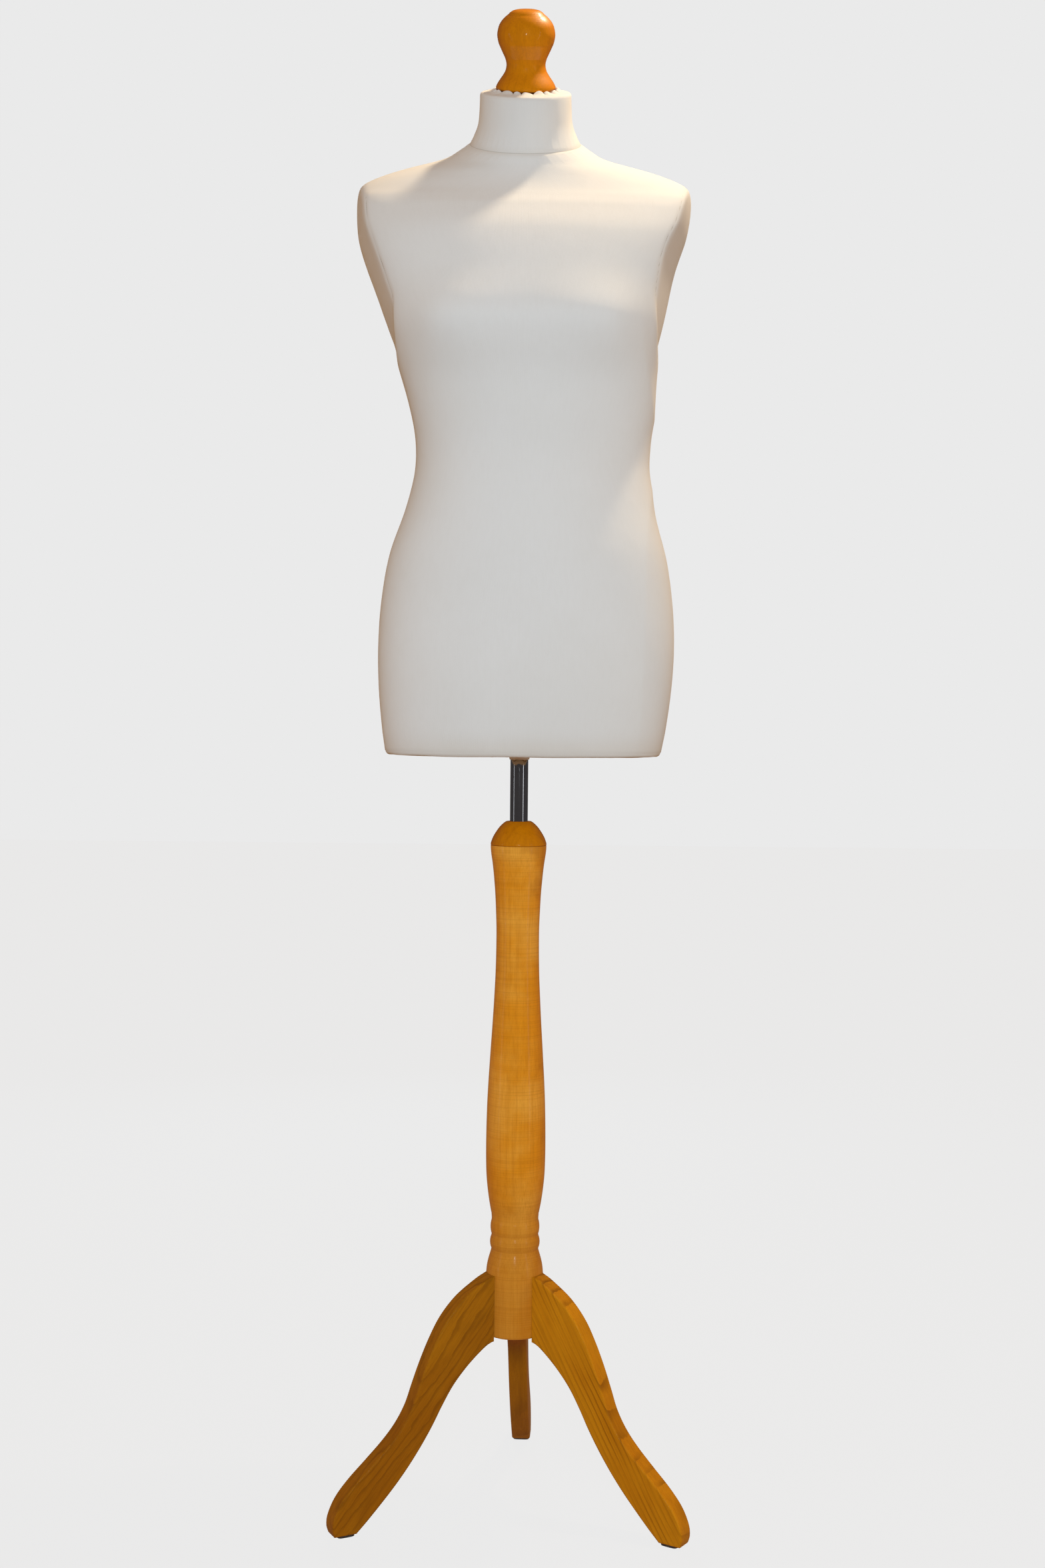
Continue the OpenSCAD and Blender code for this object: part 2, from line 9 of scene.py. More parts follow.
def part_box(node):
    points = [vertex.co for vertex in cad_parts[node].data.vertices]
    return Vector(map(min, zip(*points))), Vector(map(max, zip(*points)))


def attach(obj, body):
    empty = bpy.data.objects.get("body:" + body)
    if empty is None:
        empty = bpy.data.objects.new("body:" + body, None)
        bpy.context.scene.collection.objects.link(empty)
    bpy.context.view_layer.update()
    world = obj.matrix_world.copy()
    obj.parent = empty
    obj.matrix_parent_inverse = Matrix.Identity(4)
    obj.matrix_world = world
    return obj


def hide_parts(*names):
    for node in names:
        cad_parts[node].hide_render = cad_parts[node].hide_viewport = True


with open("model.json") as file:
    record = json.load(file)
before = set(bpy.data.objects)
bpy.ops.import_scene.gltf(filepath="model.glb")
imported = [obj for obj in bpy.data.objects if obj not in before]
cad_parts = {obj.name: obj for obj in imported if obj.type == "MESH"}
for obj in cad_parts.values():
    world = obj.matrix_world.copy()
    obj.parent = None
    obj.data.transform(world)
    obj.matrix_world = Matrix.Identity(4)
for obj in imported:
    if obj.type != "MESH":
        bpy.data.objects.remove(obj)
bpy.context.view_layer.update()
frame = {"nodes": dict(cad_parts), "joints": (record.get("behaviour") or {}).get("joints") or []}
nodes = frame["nodes"]
joints = {j["name"]: j for j in frame["joints"]}
MM = 0.001

# ---------------------------------------------------------------- places, all from the frame

pole_low, pole_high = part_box("pole")
axis_x, axis_y = (pole_low.x + pole_high.x) / 2, (pole_low.y + pole_high.y) / 2
pole_r = (pole_high.x - pole_low.x) / 2
torso_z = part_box("front_shell")[0].z
column_low, column_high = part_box("column")
knob_axis = Vector(joints["knob_lift"]["axis"]).normalized()
neck_tilt = math.atan2(-knob_axis.y, knob_axis.z)
clamp_z = joints["clamp_turn"]["pos_m"][2]
# The middle of the neck's top, in mm from the middle of the torso's underside
NECK_TOP = (0, -8, 723.8)
torso_frame = Matrix.Translation((axis_x, axis_y, torso_z))
neck_place = Matrix.Translation([c * MM for c in NECK_TOP]) @ Matrix.Rotation(neck_tilt, 4, "X")
neck_frame = torso_frame @ neck_place
leg_angles = {
    side: math.atan2(
        sum(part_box("foot_pad_" + side), Vector()).y / 2 - axis_y,
        sum(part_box("foot_pad_" + side), Vector()).x / 2 - axis_x,
    )
    for side in ("left", "right", "rear")
}

# ---------------------------------------------------------------- small tools


def mesh_object(name, points, faces, smooth=True, matrix=None, bake=False):
    """A mesh from points in metres, placed by matrix.

    bake puts the place into the mesh, so that the box of a tilted piece stays tight.
    """
    mesh = bpy.data.meshes.new(name)
    mesh.from_pydata([tuple(p) for p in points], [], faces)
    mesh.validate()
    mesh.polygons.foreach_set("use_smooth", [smooth] * len(mesh.polygons))
    mesh.update()
    o = bpy.data.objects.new(name, mesh)
    bpy.context.scene.collection.objects.link(o)
    if bake:
        mesh.transform(matrix)
    elif matrix is not None:
        o.matrix_world = matrix
    return o


def hermite(table, x, column):
    """Column of a table at x, smoothly between its rows. x may be an array."""
    t = np.asarray(table, float)
    keys = t[:, 0]
    k = np.clip(np.searchsorted(keys, x, side="right") - 1, 0, len(t) - 2)
    before, after = np.maximum(k - 1, 0), np.minimum(k + 2, len(t) - 1)
    value = t[:, column]
    slope_low = (value[k + 1] - value[before]) / (keys[k + 1] - keys[before])
    slope_high = (value[after] - value[k]) / (keys[after] - keys[k])
    span = keys[k + 1] - keys[k]
    u = (x - keys[k]) / span
    v = 1 - u
    ends = v * v * (1 + 2 * u) * value[k] + u * u * (3 - 2 * u) * value[k + 1]
    return ends + span * u * v * (v * slope_low - u * slope_high)


def catmull(points, steps):
    """A smooth open curve through points."""
    p = np.asarray(points, float)
    out = []
    for i in range(len(p) - 1):
        a, b, c, d = p[max(i - 1, 0)], p[i], p[i + 1], p[min(i + 2, len(p) - 1)]
        for k in range(steps):
            u = k / steps
            square, cube = 2 * a - 5 * b + 4 * c - d, 3 * b - a - 3 * c + d
            out.append(0.5 * (2 * b + (c - a) * u + square * u**2 + cube * u**3))
    return np.array(out + [p[-1]])


def smoothstep(low, high, x):
    t = np.clip((x - low) / (high - low), 0, 1)
    return t * t * (3 - 2 * t)


def lathe(name, profile, segments, matrix, closed=False, wobble=None, bake=False):
    """Turns a profile of (radius, height) in mm about Z.

    An end on the axis closes in a point. closed joins the last row to the first. wobble changes the
    radius by the angle.
    """
    points, faces, rows = [], [], []
    for r, h in profile:
        if r < 1e-6:
            rows.append([len(points)] * segments)
            points.append((0, 0, h * MM))
            continue
        rows.append([len(points) + i for i in range(segments)])
        for i in range(segments):
            a = 2 * math.pi * i / segments
            rr = r if wobble is None else wobble(r, h, a)
            points.append((rr * math.cos(a) * MM, rr * math.sin(a) * MM, h * MM))
    pairs = list(zip(rows, rows[1:])) + ([(rows[-1], rows[0])] if closed else [])
    for low, high in pairs:
        for i in range(segments):
            j = (i + 1) % segments
            face = []
            for v in (low[i], low[j], high[j], high[i]):
                if v not in face:
                    face.append(v)
            if len(face) > 2:
                faces.append(face)
    return mesh_object(name, points, faces, matrix=matrix, bake=bake)


def rounded(corners, radius, steps=5):
    """A polyline of (radius, height) with its inner corners rounded."""
    out = [corners[0]]
    for i in range(1, len(corners) - 1):
        a, b, c = (np.array(corners[k], float) for k in (i - 1, i, i + 1))
        to_a, to_c = a - b, c - b
        la, lc = np.linalg.norm(to_a), np.linalg.norm(to_c)
        cut = min(radius, la * 0.45, lc * 0.45)
        p, q = b + to_a / la * cut, b + to_c / lc * cut
        for k in range(steps + 1):
            u = k / steps
            out.append(tuple((1 - u) ** 2 * p + 2 * u * (1 - u) * b + u * u * q))
    return out + [corners[-1]]


def sharpen(o, degrees):
    """Keeps edges over the angle sharp in a smooth-shaded mesh."""
    o.data.set_sharp_from_angle(angle=math.radians(degrees))


# ---------------------------------------------------------------- materials


class Shader:
    """A material whose nodes are added by short calls."""

    def __init__(self, name, **values):
        self.material = bpy.data.materials.new(name)
        self.material.use_nodes = True
        self.tree = self.material.node_tree
        self.bsdf = self.tree.nodes["Principled BSDF"]
        for key, value in values.items():
            self.bsdf.inputs[key.replace("_", " ")].default_value = value

    def put(self, socket, value):
        if isinstance(value, bpy.types.NodeSocket):
            self.tree.links.new(value, socket)
        else:
            socket.default_value = value

    def node(self, kind, *values, **settings):
        """Adds a node. values fill its inputs in order, None leaves one alone."""
        made = self.tree.nodes.new("ShaderNode" + kind)
        for key, value in settings.items():
            setattr(made, key, value)
        for socket, value in zip(made.inputs, values):
            if value is not None:
                self.put(socket, value)
        return made

    def math(self, operation, *values):
        return self.node("Math", *values, operation=operation).outputs[0]

    def noise(self, vector, scale, detail=3.0, roughness=0.5):
        made = self.node("TexNoise", vector)
        made.inputs["Scale"].default_value = scale
        made.inputs["Detail"].default_value = detail
        made.inputs["Roughness"].default_value = roughness
        return made.outputs[0]

    def mapping(self, vector, scale=(1, 1, 1), rotation=(0, 0, 0), location=(0, 0, 0)):
        return self.node("Mapping", vector, location, rotation, scale).outputs[0]

    def span(self, value, low, high, to_low=0.0, to_high=1.0):
        made = self.node("MapRange", value, low, high, to_low, to_high)
        made.interpolation_type = "SMOOTHSTEP"
        return made.outputs[0]

    def mix(self, factor, a, b, blend="MIX"):
        made = self.tree.nodes.new("ShaderNodeMix")
        made.data_type = "RGBA"
        made.blend_type = blend
        for index, value in ((0, factor), (6, a), (7, b)):
            self.put(made.inputs[index], value)
        return made.outputs[2]

    def object_space(self):
        return self.node("TexCoord").outputs["Object"]

    def attribute(self, name):
        return self.node("Attribute", attribute_name=name)

    def bump(self, height, distance, strength=1.0):
        made = self.node("Bump")
        made.inputs["Strength"].default_value = strength
        made.inputs["Distance"].default_value = distance
        self.put(made.inputs["Height"], height)
        self.tree.links.new(made.outputs[0], self.bsdf.inputs["Normal"])
        return made

    def set(self, name, value):
        self.put(self.bsdf.inputs[name], value)


def rgb(r, g, b):
    return (r, g, b, 1.0)


def wood(
    name, light, mid, dark, ring_mm, turn, seed, coat=0.4, gloss=0.10, lines=0.5,
    warp_m=0.03, blotch=0.5, patches=(14, 14, 5), turned=0.0, shade_below=0.0,
):
    """Stained and lacquered beech: growth lines across local X; fibres, pores and flecks along Z.

    turned adds the fine rings of the lathe, and a height in m given for the foot darkens the piece under it, as
    painted shade towards its foot.
    """
    s = Shader(name, Specular_IOR_Level=0.15, Coat_Weight=coat, Coat_Roughness=gloss, Coat_IOR=1.5)
    place = s.mapping(s.object_space(), rotation=turn, location=(seed * 0.37, seed * 0.11, seed * 0.23))
    x, y, z = s.node("SeparateXYZ", place).outputs
    warp = s.noise(s.mapping(place, scale=(9, 9, 3.2)), 1.0, 2.0)
    ripple = s.noise(s.mapping(place, scale=(70, 70, 26)), 1.0, 3.0, 0.6)
    across = s.math("ADD", x, s.math("MULTIPLY", warp, warp_m))
    across = s.math("ADD", across, s.math("MULTIPLY", ripple, warp_m * 0.09 + 0.0006))
    ring = s.math("FRACT", s.math("DIVIDE", across, ring_mm * MM))
    late = s.math("MULTIPLY", s.span(ring, 0.55, 0.94), s.span(ring, 0.95, 1.0, 1.0, 0.0))
    uneven = s.noise(s.mapping(place, scale=(30, 30, 9)), 1.0)
    late = s.math("MULTIPLY", late, s.span(uneven, 0.32, 0.68, 0.2, 1.0))
    fibres = s.noise(s.mapping(place, scale=(900, 900, 14)), 1.0, 3.0, 0.6)
    streaks = s.noise(s.mapping(place, scale=(190, 190, 7)), 1.0, 3.0, 0.55)
    pores = s.span(s.noise(s.mapping(place, scale=(1700, 1700, 110)), 1.0, 2.0, 0.7), 0.57, 0.72)
    flecks = s.node("TexVoronoi", s.mapping(place, scale=(900, 420, 160)))
    flecks.inputs["Scale"].default_value = 1.0
    fleck = s.span(flecks.outputs["Distance"], 0.16, 0.3, 1.0, 0.0)
    cloud = s.noise(s.mapping(place, scale=patches), 1.0, 4.0, 0.6)
    stain = s.noise(s.mapping(place, scale=patches, location=(3.1, 1.7, 9.2)), 1.6, 3.0, 0.6)
    tone = s.mix(s.span(cloud, 0.36, 0.62, 0.0, blotch), light, mid)
    tone = s.mix(s.span(stain, 0.56, 0.74, 0.0, blotch * 0.45), tone, dark)
    tone = s.mix(s.math("MULTIPLY", late, lines), tone, dark)
    tone = s.mix(s.span(streaks, 0.40, 0.72, 0.0, 0.16), tone, dark)
    tone = s.mix(s.span(fibres, 0.40, 0.72, 0.0, 0.22), tone, dark)
    tone = s.mix(s.math("MULTIPLY", pores, 0.20), tone, dark)
    tone = s.mix(s.math("MULTIPLY", fleck, 0.12), tone, dark)
    height = s.math("SUBTRACT", s.math("MULTIPLY", fibres, 0.5), s.math("MULTIPLY", pores, 0.6))
    if turned:
        ridges = s.noise(s.mapping(place, scale=(5, 5, 1100)), 1.0, 2.0)
        tone = s.mix(s.span(ridges, 0.42, 0.70, 0.0, turned), tone, dark)
        height = s.math("ADD", height, s.math("MULTIPLY", ridges, 0.5))
    # painted shade: the piece darkens towards its foot
    if shade_below:
        height_up = s.node("SeparateXYZ", s.object_space()).outputs[2]
        tone = s.mix(s.span(height_up, shade_below * 0.4, shade_below, 0.42, 0.0), tone, dark)
    s.set("Base Color", tone)
    s.set("Roughness", s.span(streaks, 0.2, 0.8, 0.36, 0.52))
    s.bump(height, 0.00008, 0.5)
    return s.material


def moulded(name, color, roughness, grain=900.0, depth=0.00006, **values):
    """Moulded plastic with a fine texture and slight unevenness of tone."""
    s = Shader(name, **values)
    place = s.object_space()
    soft = s.noise(place, 35.0, 2.0)
    tone = tuple(c * 0.8 for c in color[:3]) + (1.0,)
    s.set("Base Color", s.mix(s.span(soft, 0.3, 0.75, 0.0, 0.7), color, tone))
    s.set("Roughness", s.span(soft, 0.2, 0.8, roughness * 0.85, min(roughness * 1.2, 1.0)))
    s.bump(s.noise(place, grain, 3.0, 0.6), depth, 0.6)
    return s.material


def metal(name, color, roughness, brushed, turned=(0, 0, 0)):
    """Metal with fine lines left by its turning or drawing."""
    s = Shader(name, Metallic=1.0)
    place = s.mapping(s.object_space(), rotation=turned)
    lines = s.noise(s.mapping(place, scale=brushed), 1.0, 3.0, 0.6)
    cloud = s.noise(place, 60.0, 3.0)
    worn = tuple(c * 0.82 for c in color[:3]) + (1.0,)
    s.set("Base Color", s.mix(s.span(cloud, 0.35, 0.75, 0.0, 0.6), color, worn))
    s.set("Roughness", s.span(lines, 0.25, 0.75, roughness * 0.7, roughness * 1.4))
    s.bump(lines, 0.00001, 0.4)
    return s.material


def jersey_material():
    """Fine stretch jersey: wales and courses along the cloth with painted shade in the grooves between the
    wales, stitched seam lines, and painted shade with a little soiling at the hem, the neck seam and the lid
    round the knob.
    """
    s = Shader(
        "jersey_cloth", Roughness=0.88, Diffuse_Roughness=0.12, Sheen_Weight=0.08, Sheen_Roughness=0.45,
        Specular_IOR_Level=0.2,
    )
    s.bsdf.inputs["Sheen Tint"].default_value = rgb(1.0, 0.97, 0.92)
    cloth = s.attribute("cloth").outputs["Vector"]
    u, v, _ = s.node("SeparateXYZ", cloth).outputs
    wale, course = 0.0011, 0.0008
    side = s.math("PINGPONG", u, wale / 2)
    slant = s.math("ADD", v, s.math("MULTIPLY", side, 0.9))
    loops = s.math("SINE", s.math("MULTIPLY", slant, 2 * math.pi / course))
    groove = s.span(side, 0.0, wale * 0.16)
    seams = s.attribute("seams").outputs["Vector"]
    gap, along, shade_and_soil = s.node("SeparateXYZ", seams).outputs
    line = s.span(gap, 0.0003, 0.0011, 1.0, 0.0)
    stitch = s.span(s.math("PINGPONG", along, 0.0014), 0.0003, 0.0006)
    space = s.object_space()
    cloud = s.noise(space, 5.0, 4.0, 0.55)
    fuzz = s.noise(space, 900.0, 3.0, 0.65)
    slub = s.noise(s.mapping(cloth, scale=(260, 60, 1)), 1.0, 2.0)
    tone = s.mix(s.span(cloud, 0.3, 0.72), rgb(0.80, 0.775, 0.735), rgb(0.77, 0.742, 0.695))
    tone = s.mix(s.span(slub, 0.35, 0.8, 0.0, 0.10), tone, rgb(0.70, 0.66, 0.60))
    # painted shade in the grooves between the wales
    tone = s.mix(s.math("MULTIPLY", s.math("SUBTRACT", 1.0, groove), 0.10), tone, rgb(0.60, 0.56, 0.50))
    # painted shade with a little soiling: darker, warmer cloth at and under the hem, along the neck seam and
    # over the lid towards the knob
    tone = s.mix(s.math("MULTIPLY", shade_and_soil, s.span(cloud, 0.2, 0.7, 0.15, 0.40)), tone, rgb(0.62, 0.52, 0.40))
    sewn = s.math("MULTIPLY", line, s.math("ADD", 0.45, s.math("MULTIPLY", stitch, 0.25)))
    tone = s.mix(sewn, tone, rgb(0.40, 0.34, 0.27))
    s.set("Base Color", tone)
    height = s.math("ADD", s.math("MULTIPLY", loops, 0.35), s.math("MULTIPLY", groove, 0.8))
    height = s.math("ADD", height, s.math("MULTIPLY", fuzz, 0.9))
    height = s.math("SUBTRACT", height, s.math("MULTIPLY", line, 3.0))
    s.bump(height, 0.00009, 0.55)
    return s.material


def elastic_material(name, ribs):
    """Woven elastic: ribs along the band, with painted shade in the troughs between them, and a crêpe of short
    floats across it.
    """
    s = Shader(name, Roughness=0.85, Sheen_Weight=0.2, Sheen_Roughness=0.5)
    space = s.object_space()
    cloth = s.attribute("cloth").outputs["Vector"]
    u, v, _ = s.node("SeparateXYZ", cloth).outputs
    rib = s.math("SINE", s.math("MULTIPLY", v, 2 * math.pi / ribs))
    cross = s.math("SINE", s.math("MULTIPLY", u, 2 * math.pi / 0.0009))
    fuzz = s.noise(space, 1100.0, 3.0, 0.6)
    # painted shade in the troughs between the ribs
    tone = s.mix(s.span(rib, -0.9, 0.5), rgb(0.55, 0.52, 0.47), rgb(0.79, 0.77, 0.72))
    s.set("Base Color", s.mix(s.span(fuzz, 0.3, 0.8, 0.0, 0.25), tone, rgb(0.62, 0.58, 0.52)))
    height = s.math("ADD", s.math("MULTIPLY", rib, 0.7), s.math("MULTIPLY", cross, 0.3))
    s.bump(s.math("ADD", height, fuzz), 0.00012, 0.6)
    return s.material


def plywood_material():
    """Birch plywood: a clean face veneer, with its plies on the edge."""
    s = Shader("birch_ply", Roughness=0.62)
    place = s.object_space()
    x, y, z = s.node("SeparateXYZ", place).outputs
    grain = s.noise(s.mapping(place, scale=(12, 260, 260)), 1.0, 3.0, 0.6)
    figure = s.noise(s.mapping(place, scale=(3, 22, 22)), 1.0, 2.0)
    plies = s.math("GREATER_THAN", s.math("FRACT", s.math("DIVIDE", z, 0.003)), 0.5)
    tone = s.mix(s.span(figure, 0.3, 0.7), rgb(0.74, 0.56, 0.36), rgb(0.64, 0.46, 0.27))
    tone = s.mix(s.span(grain, 0.4, 0.8, 0.0, 0.4), tone, rgb(0.46, 0.30, 0.16))
    normal = s.node("NewGeometry").outputs["Normal"]
    facing = s.math("ABSOLUTE", s.node("SeparateXYZ", normal).outputs[2])
    edge = s.math("MULTIPLY", s.math("LESS_THAN", facing, 0.5), plies)
    s.set("Base Color", s.mix(s.math("MULTIPLY", edge, 0.6), tone, rgb(0.40, 0.24, 0.12)))
    s.bump(grain, 0.00008, 0.5)
    return s.material


def laminate_material():
    """Glass-fibre laminate, a little uneven, with fibres showing through the resin."""
    s = Shader("laminate", Roughness=0.55, Coat_Weight=0.1)
    place = s.object_space()
    fibres = s.node("TexVoronoi", s.mapping(place, scale=(60, 60, 260)))
    fibres.inputs["Scale"].default_value = 1.0
    cloud = s.noise(place, 9.0, 4.0)
    tone = s.mix(s.span(cloud, 0.3, 0.7), rgb(0.74, 0.71, 0.60), rgb(0.64, 0.60, 0.48))
    showing = s.span(fibres.outputs["Distance"], 0.1, 0.5, 0.25, 0.0)
    s.set("Base Color", s.mix(showing, tone, rgb(0.82, 0.80, 0.72)))
    s.bump(s.noise(place, 160.0, 4.0), 0.0003, 0.5)
    return s.material


def shadow_felt_material():
    """Dense felt with short fibres, near black as painted shade: it stands for the contact shadow under each
    foot.
    """
    s = Shader("felt", Roughness=0.95, Sheen_Weight=0.4, Sheen_Roughness=0.5)
    place = s.object_space()
    hair = s.noise(s.mapping(place, scale=(1400, 1400, 500)), 1.0, 4.0, 0.7)
    # painted shade: the felt is made near black to stand for the contact shadow under the feet
    s.set("Base Color", s.mix(s.span(hair, 0.3, 0.75), rgb(0.020, 0.017, 0.014), rgb(0.075, 0.065, 0.055)))
    s.bump(hair, 0.0003, 0.8)
    return s.material


# Light, middle and dark tone of each stain
KNOB_TONES = (rgb(0.72, 0.240, 0.001), rgb(0.57, 0.180, 0.001), rgb(0.31, 0.074, 0.0005))
COLUMN_TONES = (rgb(0.95, 0.425, 0.048), rgb(0.84, 0.290, 0.004), rgb(0.43, 0.120, 0.001))
GOLDEN = (rgb(0.70, 0.275, 0.005), rgb(0.58, 0.200, 0.002), rgb(0.25, 0.080, 0.001))
BROWN = (rgb(0.455, 0.167, 0.003), rgb(0.36, 0.115, 0.002), rgb(0.155, 0.045, 0.001))
lacquered_knob = wood(
    "beech_knob", *KNOB_TONES, 9.0, (-neck_tilt, 0, 0.4), 1.0, coat=0.35, gloss=0.09, lines=0.16
)
lacquered_cap = wood("beech_cap", *KNOB_TONES, 7.0, (0, 0, 1.1), 2.0, coat=0.35, gloss=0.14, lines=0.25)
lacquered_column = wood(
    "beech_column", *COLUMN_TONES, 8.0, (0, 0, 0.5), 3.0, gloss=0.16, lines=0.14, blotch=0.85,
    patches=(9, 9, 12), turned=0.20, shade_below=0.2,
)
# Tones (darker for the left and rear legs than for the right), growth lines' spacing in mm, their lean, seed,
# how much they wander, and their strength
LEG_WOOD = {
    "left": (BROWN, 13.0, 0.66, 4.3, 0.16, 0.42),
    "right": (GOLDEN, 6.5, 0.55, 5.1, 0.022, 0.72),
    "rear": (BROWN, 9.0, 0.60, 6.7, 0.030, 0.45),
}
lacquered_legs = {
    side: wood(
        "beech_leg_" + side, *tones, ring, (0.0, lean, 0.0), seed, coat=0.22, gloss=0.26, lines=lines,
        warp_m=warp, blotch=0.8,
    )
    for side, (tones, ring, lean, seed, warp, lines) in LEG_WOOD.items()
}
BARE_TONES = (rgb(0.72, 0.55, 0.35), rgb(0.66, 0.48, 0.28), rgb(0.42, 0.27, 0.13))
bare_wood = wood("bare_dowel", *BARE_TONES, 3.0, (0, 1.57, 0), 7.0, coat=0.0)
chrome = metal("chrome_plate", rgb(0.62, 0.63, 0.65), 0.05, (300, 300, 3))
brass = metal("turned_brass", rgb(0.78, 0.58, 0.24), 0.26, (40, 2500, 40))
zinc = metal("zinc_plate", rgb(0.60, 0.61, 0.63), 0.36, (500, 500, 500))
black_plastic = moulded("black_plastic", rgb(0.028, 0.027, 0.027), 0.45)
pale_nylon = moulded(
    "pale_nylon", rgb(0.70, 0.67, 0.70), 0.42, depth=0.00004, Subsurface_Weight=0.08, Subsurface_Scale=0.003
)
plywood = plywood_material()
laminate = laminate_material()
felt = shadow_felt_material()
jersey = jersey_material()
band_elastic = elastic_material("elastic_band", 0.0012)
cord_elastic = elastic_material("elastic_cord", 0.0008)

# ---------------------------------------------------------------- the torso's surface, in mm from its underside

SECTIONS = (
    # height, half width, middle, front, back, squareness, forward lean
    (0, 146.5, -11, 84, 110, 2.3, 0),
    (28, 150.4, -12, 86, 118, 2.3, 0),
    (73, 154.3, -12, 88, 128, 2.3, 0),
    (118, 155.2, -12, 87, 132, 2.3, 0),
    (168, 152, -11, 87, 126, 2.25, 0),
    (218, 143.5, -10, 87, 109, 2.2, 0),
    (268, 126.5, -8, 84, 90, 2.2, 0),
    (305, 117.3, -6, 82, 77, 2.2, 0),
    (330, 115.5, -5, 82, 74, 2.2, 0),
    (358, 118, -6, 84, 76, 2.2, 0),
    (398, 128, -6, 90, 82, 2.25, 0),
    (438, 142.5, -5, 100, 90, 2.3, 0),
    (470, 158, -3, 107, 95, 2.3, 0),
    (508, 173, 2, 108, 98, 2.3, 0),
    (558, 196, 9, 98, 96, 2.3, 0),
    (593, 206, 14, 84, 87, 2.3, 4),
    (609, 204, 16, 76, 79, 2.3, 8),
    (618, 193, 17, 71, 75, 2.2, 10),
    (630, 168, 17, 65, 70, 2.1, 13),
    (640, 136, 17, 62, 66, 2, 16),
    (651, 90, 16, 60, 61, 2, 20),
    (660, 72, 15.5, 60, 58, 2, 23),
    (668, 60.5, 14, 59, 56, 2, 25),
    (680, 54.5, 9, 55, 54, 2, 25),
    (693, 50.5, 3, 51.5, 51.5, 2, 24.5),
    (708, 49.2, -3, 49.6, 49.6, 2, 24),
    (727.3, 48.5, -8.7, 48.5, 48.5, 2, 23.7),
)
TOP_H, NECK_R = 727.3, 48.5
PLATE_LOW_H, PLATE_LOW_X, PLATE_SLOPE, PLATE_X, PLATE_BEND = 455, 150, 0.325, 189, 4
PLATE_ROUND, PLATE_TURN, PLATE_BACK_Y = 8.0, 0.17, 45
PLATE_OVAL, PLATE_HALF_W, PLATE_FADE, PLATE_FADE_H = 30, 55, 40, 50
PLATE_TUCK, PLATE_TUCK_H, PLATE_TUCK_REACH = 9.5, 548, 48
BUST_H, BUST_X, BUST_AT, BUST_OUT, BUST_TALL, BUST_DIP = 18, 88, 457, 42, 38, 0.4
WAIST_SLACK, WAIST_H, HIP_SLACK = 19, 345, 13
CLOTH_OUT = 1.6
NECK_SEAM_H = 668.0


def soft_min(a, b, k):
    return (a + b - np.sqrt((a - b) ** 2 + k * k)) / 2


def torso_points(h, a, inset=0.0):
    """Points of the torso at heights h and angles a, and how far inside the arm's plate each one is."""
    h, a = np.broadcast_arrays(np.asarray(h, float), np.asarray(a, float))
    width, middle, front, back, square, lean = (hermite(SECTIONS, h, c) for c in range(1, 7))
    e = 2 / square
    sine, cosine = np.sin(a), np.cos(a)
    depth = np.where(sine < 0, front - inset, back - inset)
    y = middle + depth * np.sign(sine) * np.abs(sine) ** e
    x = (width - inset) * np.sign(cosine) * np.abs(cosine) ** e
    low = PLATE_LOW_H + PLATE_OVAL * (y / PLATE_HALF_W) ** 2
    limit = soft_min(PLATE_X, PLATE_LOW_X + PLATE_SLOPE * (h - PLATE_LOW_H), PLATE_BEND) - inset
    limit = limit + PLATE_TURN * np.minimum(y - PLATE_BACK_Y, 0)
    limit = limit + PLATE_FADE * (np.maximum(low - h, 0) / PLATE_FADE_H) ** 2
    limit = limit - np.where(x > 0, PLATE_TUCK * np.exp(-(((h - PLATE_TUCK_H) / PLATE_TUCK_REACH) ** 2)), 0)
    plate = np.abs(x) - limit
    x = np.sign(x) * np.maximum(soft_min(np.abs(x), limit, PLATE_ROUND), 0)
    out = np.abs(x) > BUST_X
    beyond = np.exp(-(((np.abs(x) - BUST_X) / BUST_OUT) ** 2))
    across = np.where(out, beyond, 1 - BUST_DIP * (1 - (x / BUST_X) ** 2) ** 2)
    swell = BUST_H * across * np.exp(-(((h - BUST_AT) / BUST_TALL) ** 2))
    y = y - np.where(sine < 0, swell * np.sqrt(np.maximum(-sine, 0)), 0)
    t = np.radians(lean)
    return np.stack([x, y * np.cos(t), h + y * np.sin(t)], -1), plate


def stand_off(p):
    """The +X waist and hip, where the cloth spans the hollow."""
    side = np.clip(p[..., 0] / 120, 0, 1) ** 3
    waist = WAIST_SLACK * np.exp(-(((p[..., 2] - WAIST_H) / 80) ** 2))
    hip = HIP_SLACK * np.exp(-(((p[..., 2] - 170) / 230) ** 2))
    return side * (waist + hip)


def grid_normals(g):
    up = np.gradient(g, axis=0)
    around = np.roll(g, -1, 1) - np.roll(g, 1, 1)
    n = np.cross(around, up)
    return n / np.maximum(np.linalg.norm(n, axis=-1, keepdims=True), 1e-9)


def waves(a, seed, count=5, first=2):
    """A smooth periodic wobble of a, from -1 to 1."""
    rng = np.random.default_rng(seed)
    total = np.zeros_like(a)
    for k in range(count):
        total += np.sin(a * (first + k * 2 + 1) + rng.uniform(0, 2 * np.pi)) * rng.uniform(0.5, 1)
    return total / count * 1.4


def quad_faces(rows, columns):
    r, i = np.meshgrid(np.arange(rows - 1), np.arange(columns), indexing="ij")
    j = (i + 1) % columns
    low, high = r * columns, (r + 1) * columns
    return np.stack([low + i, low + j, high + j, high + i], -1).reshape(-1, 4)


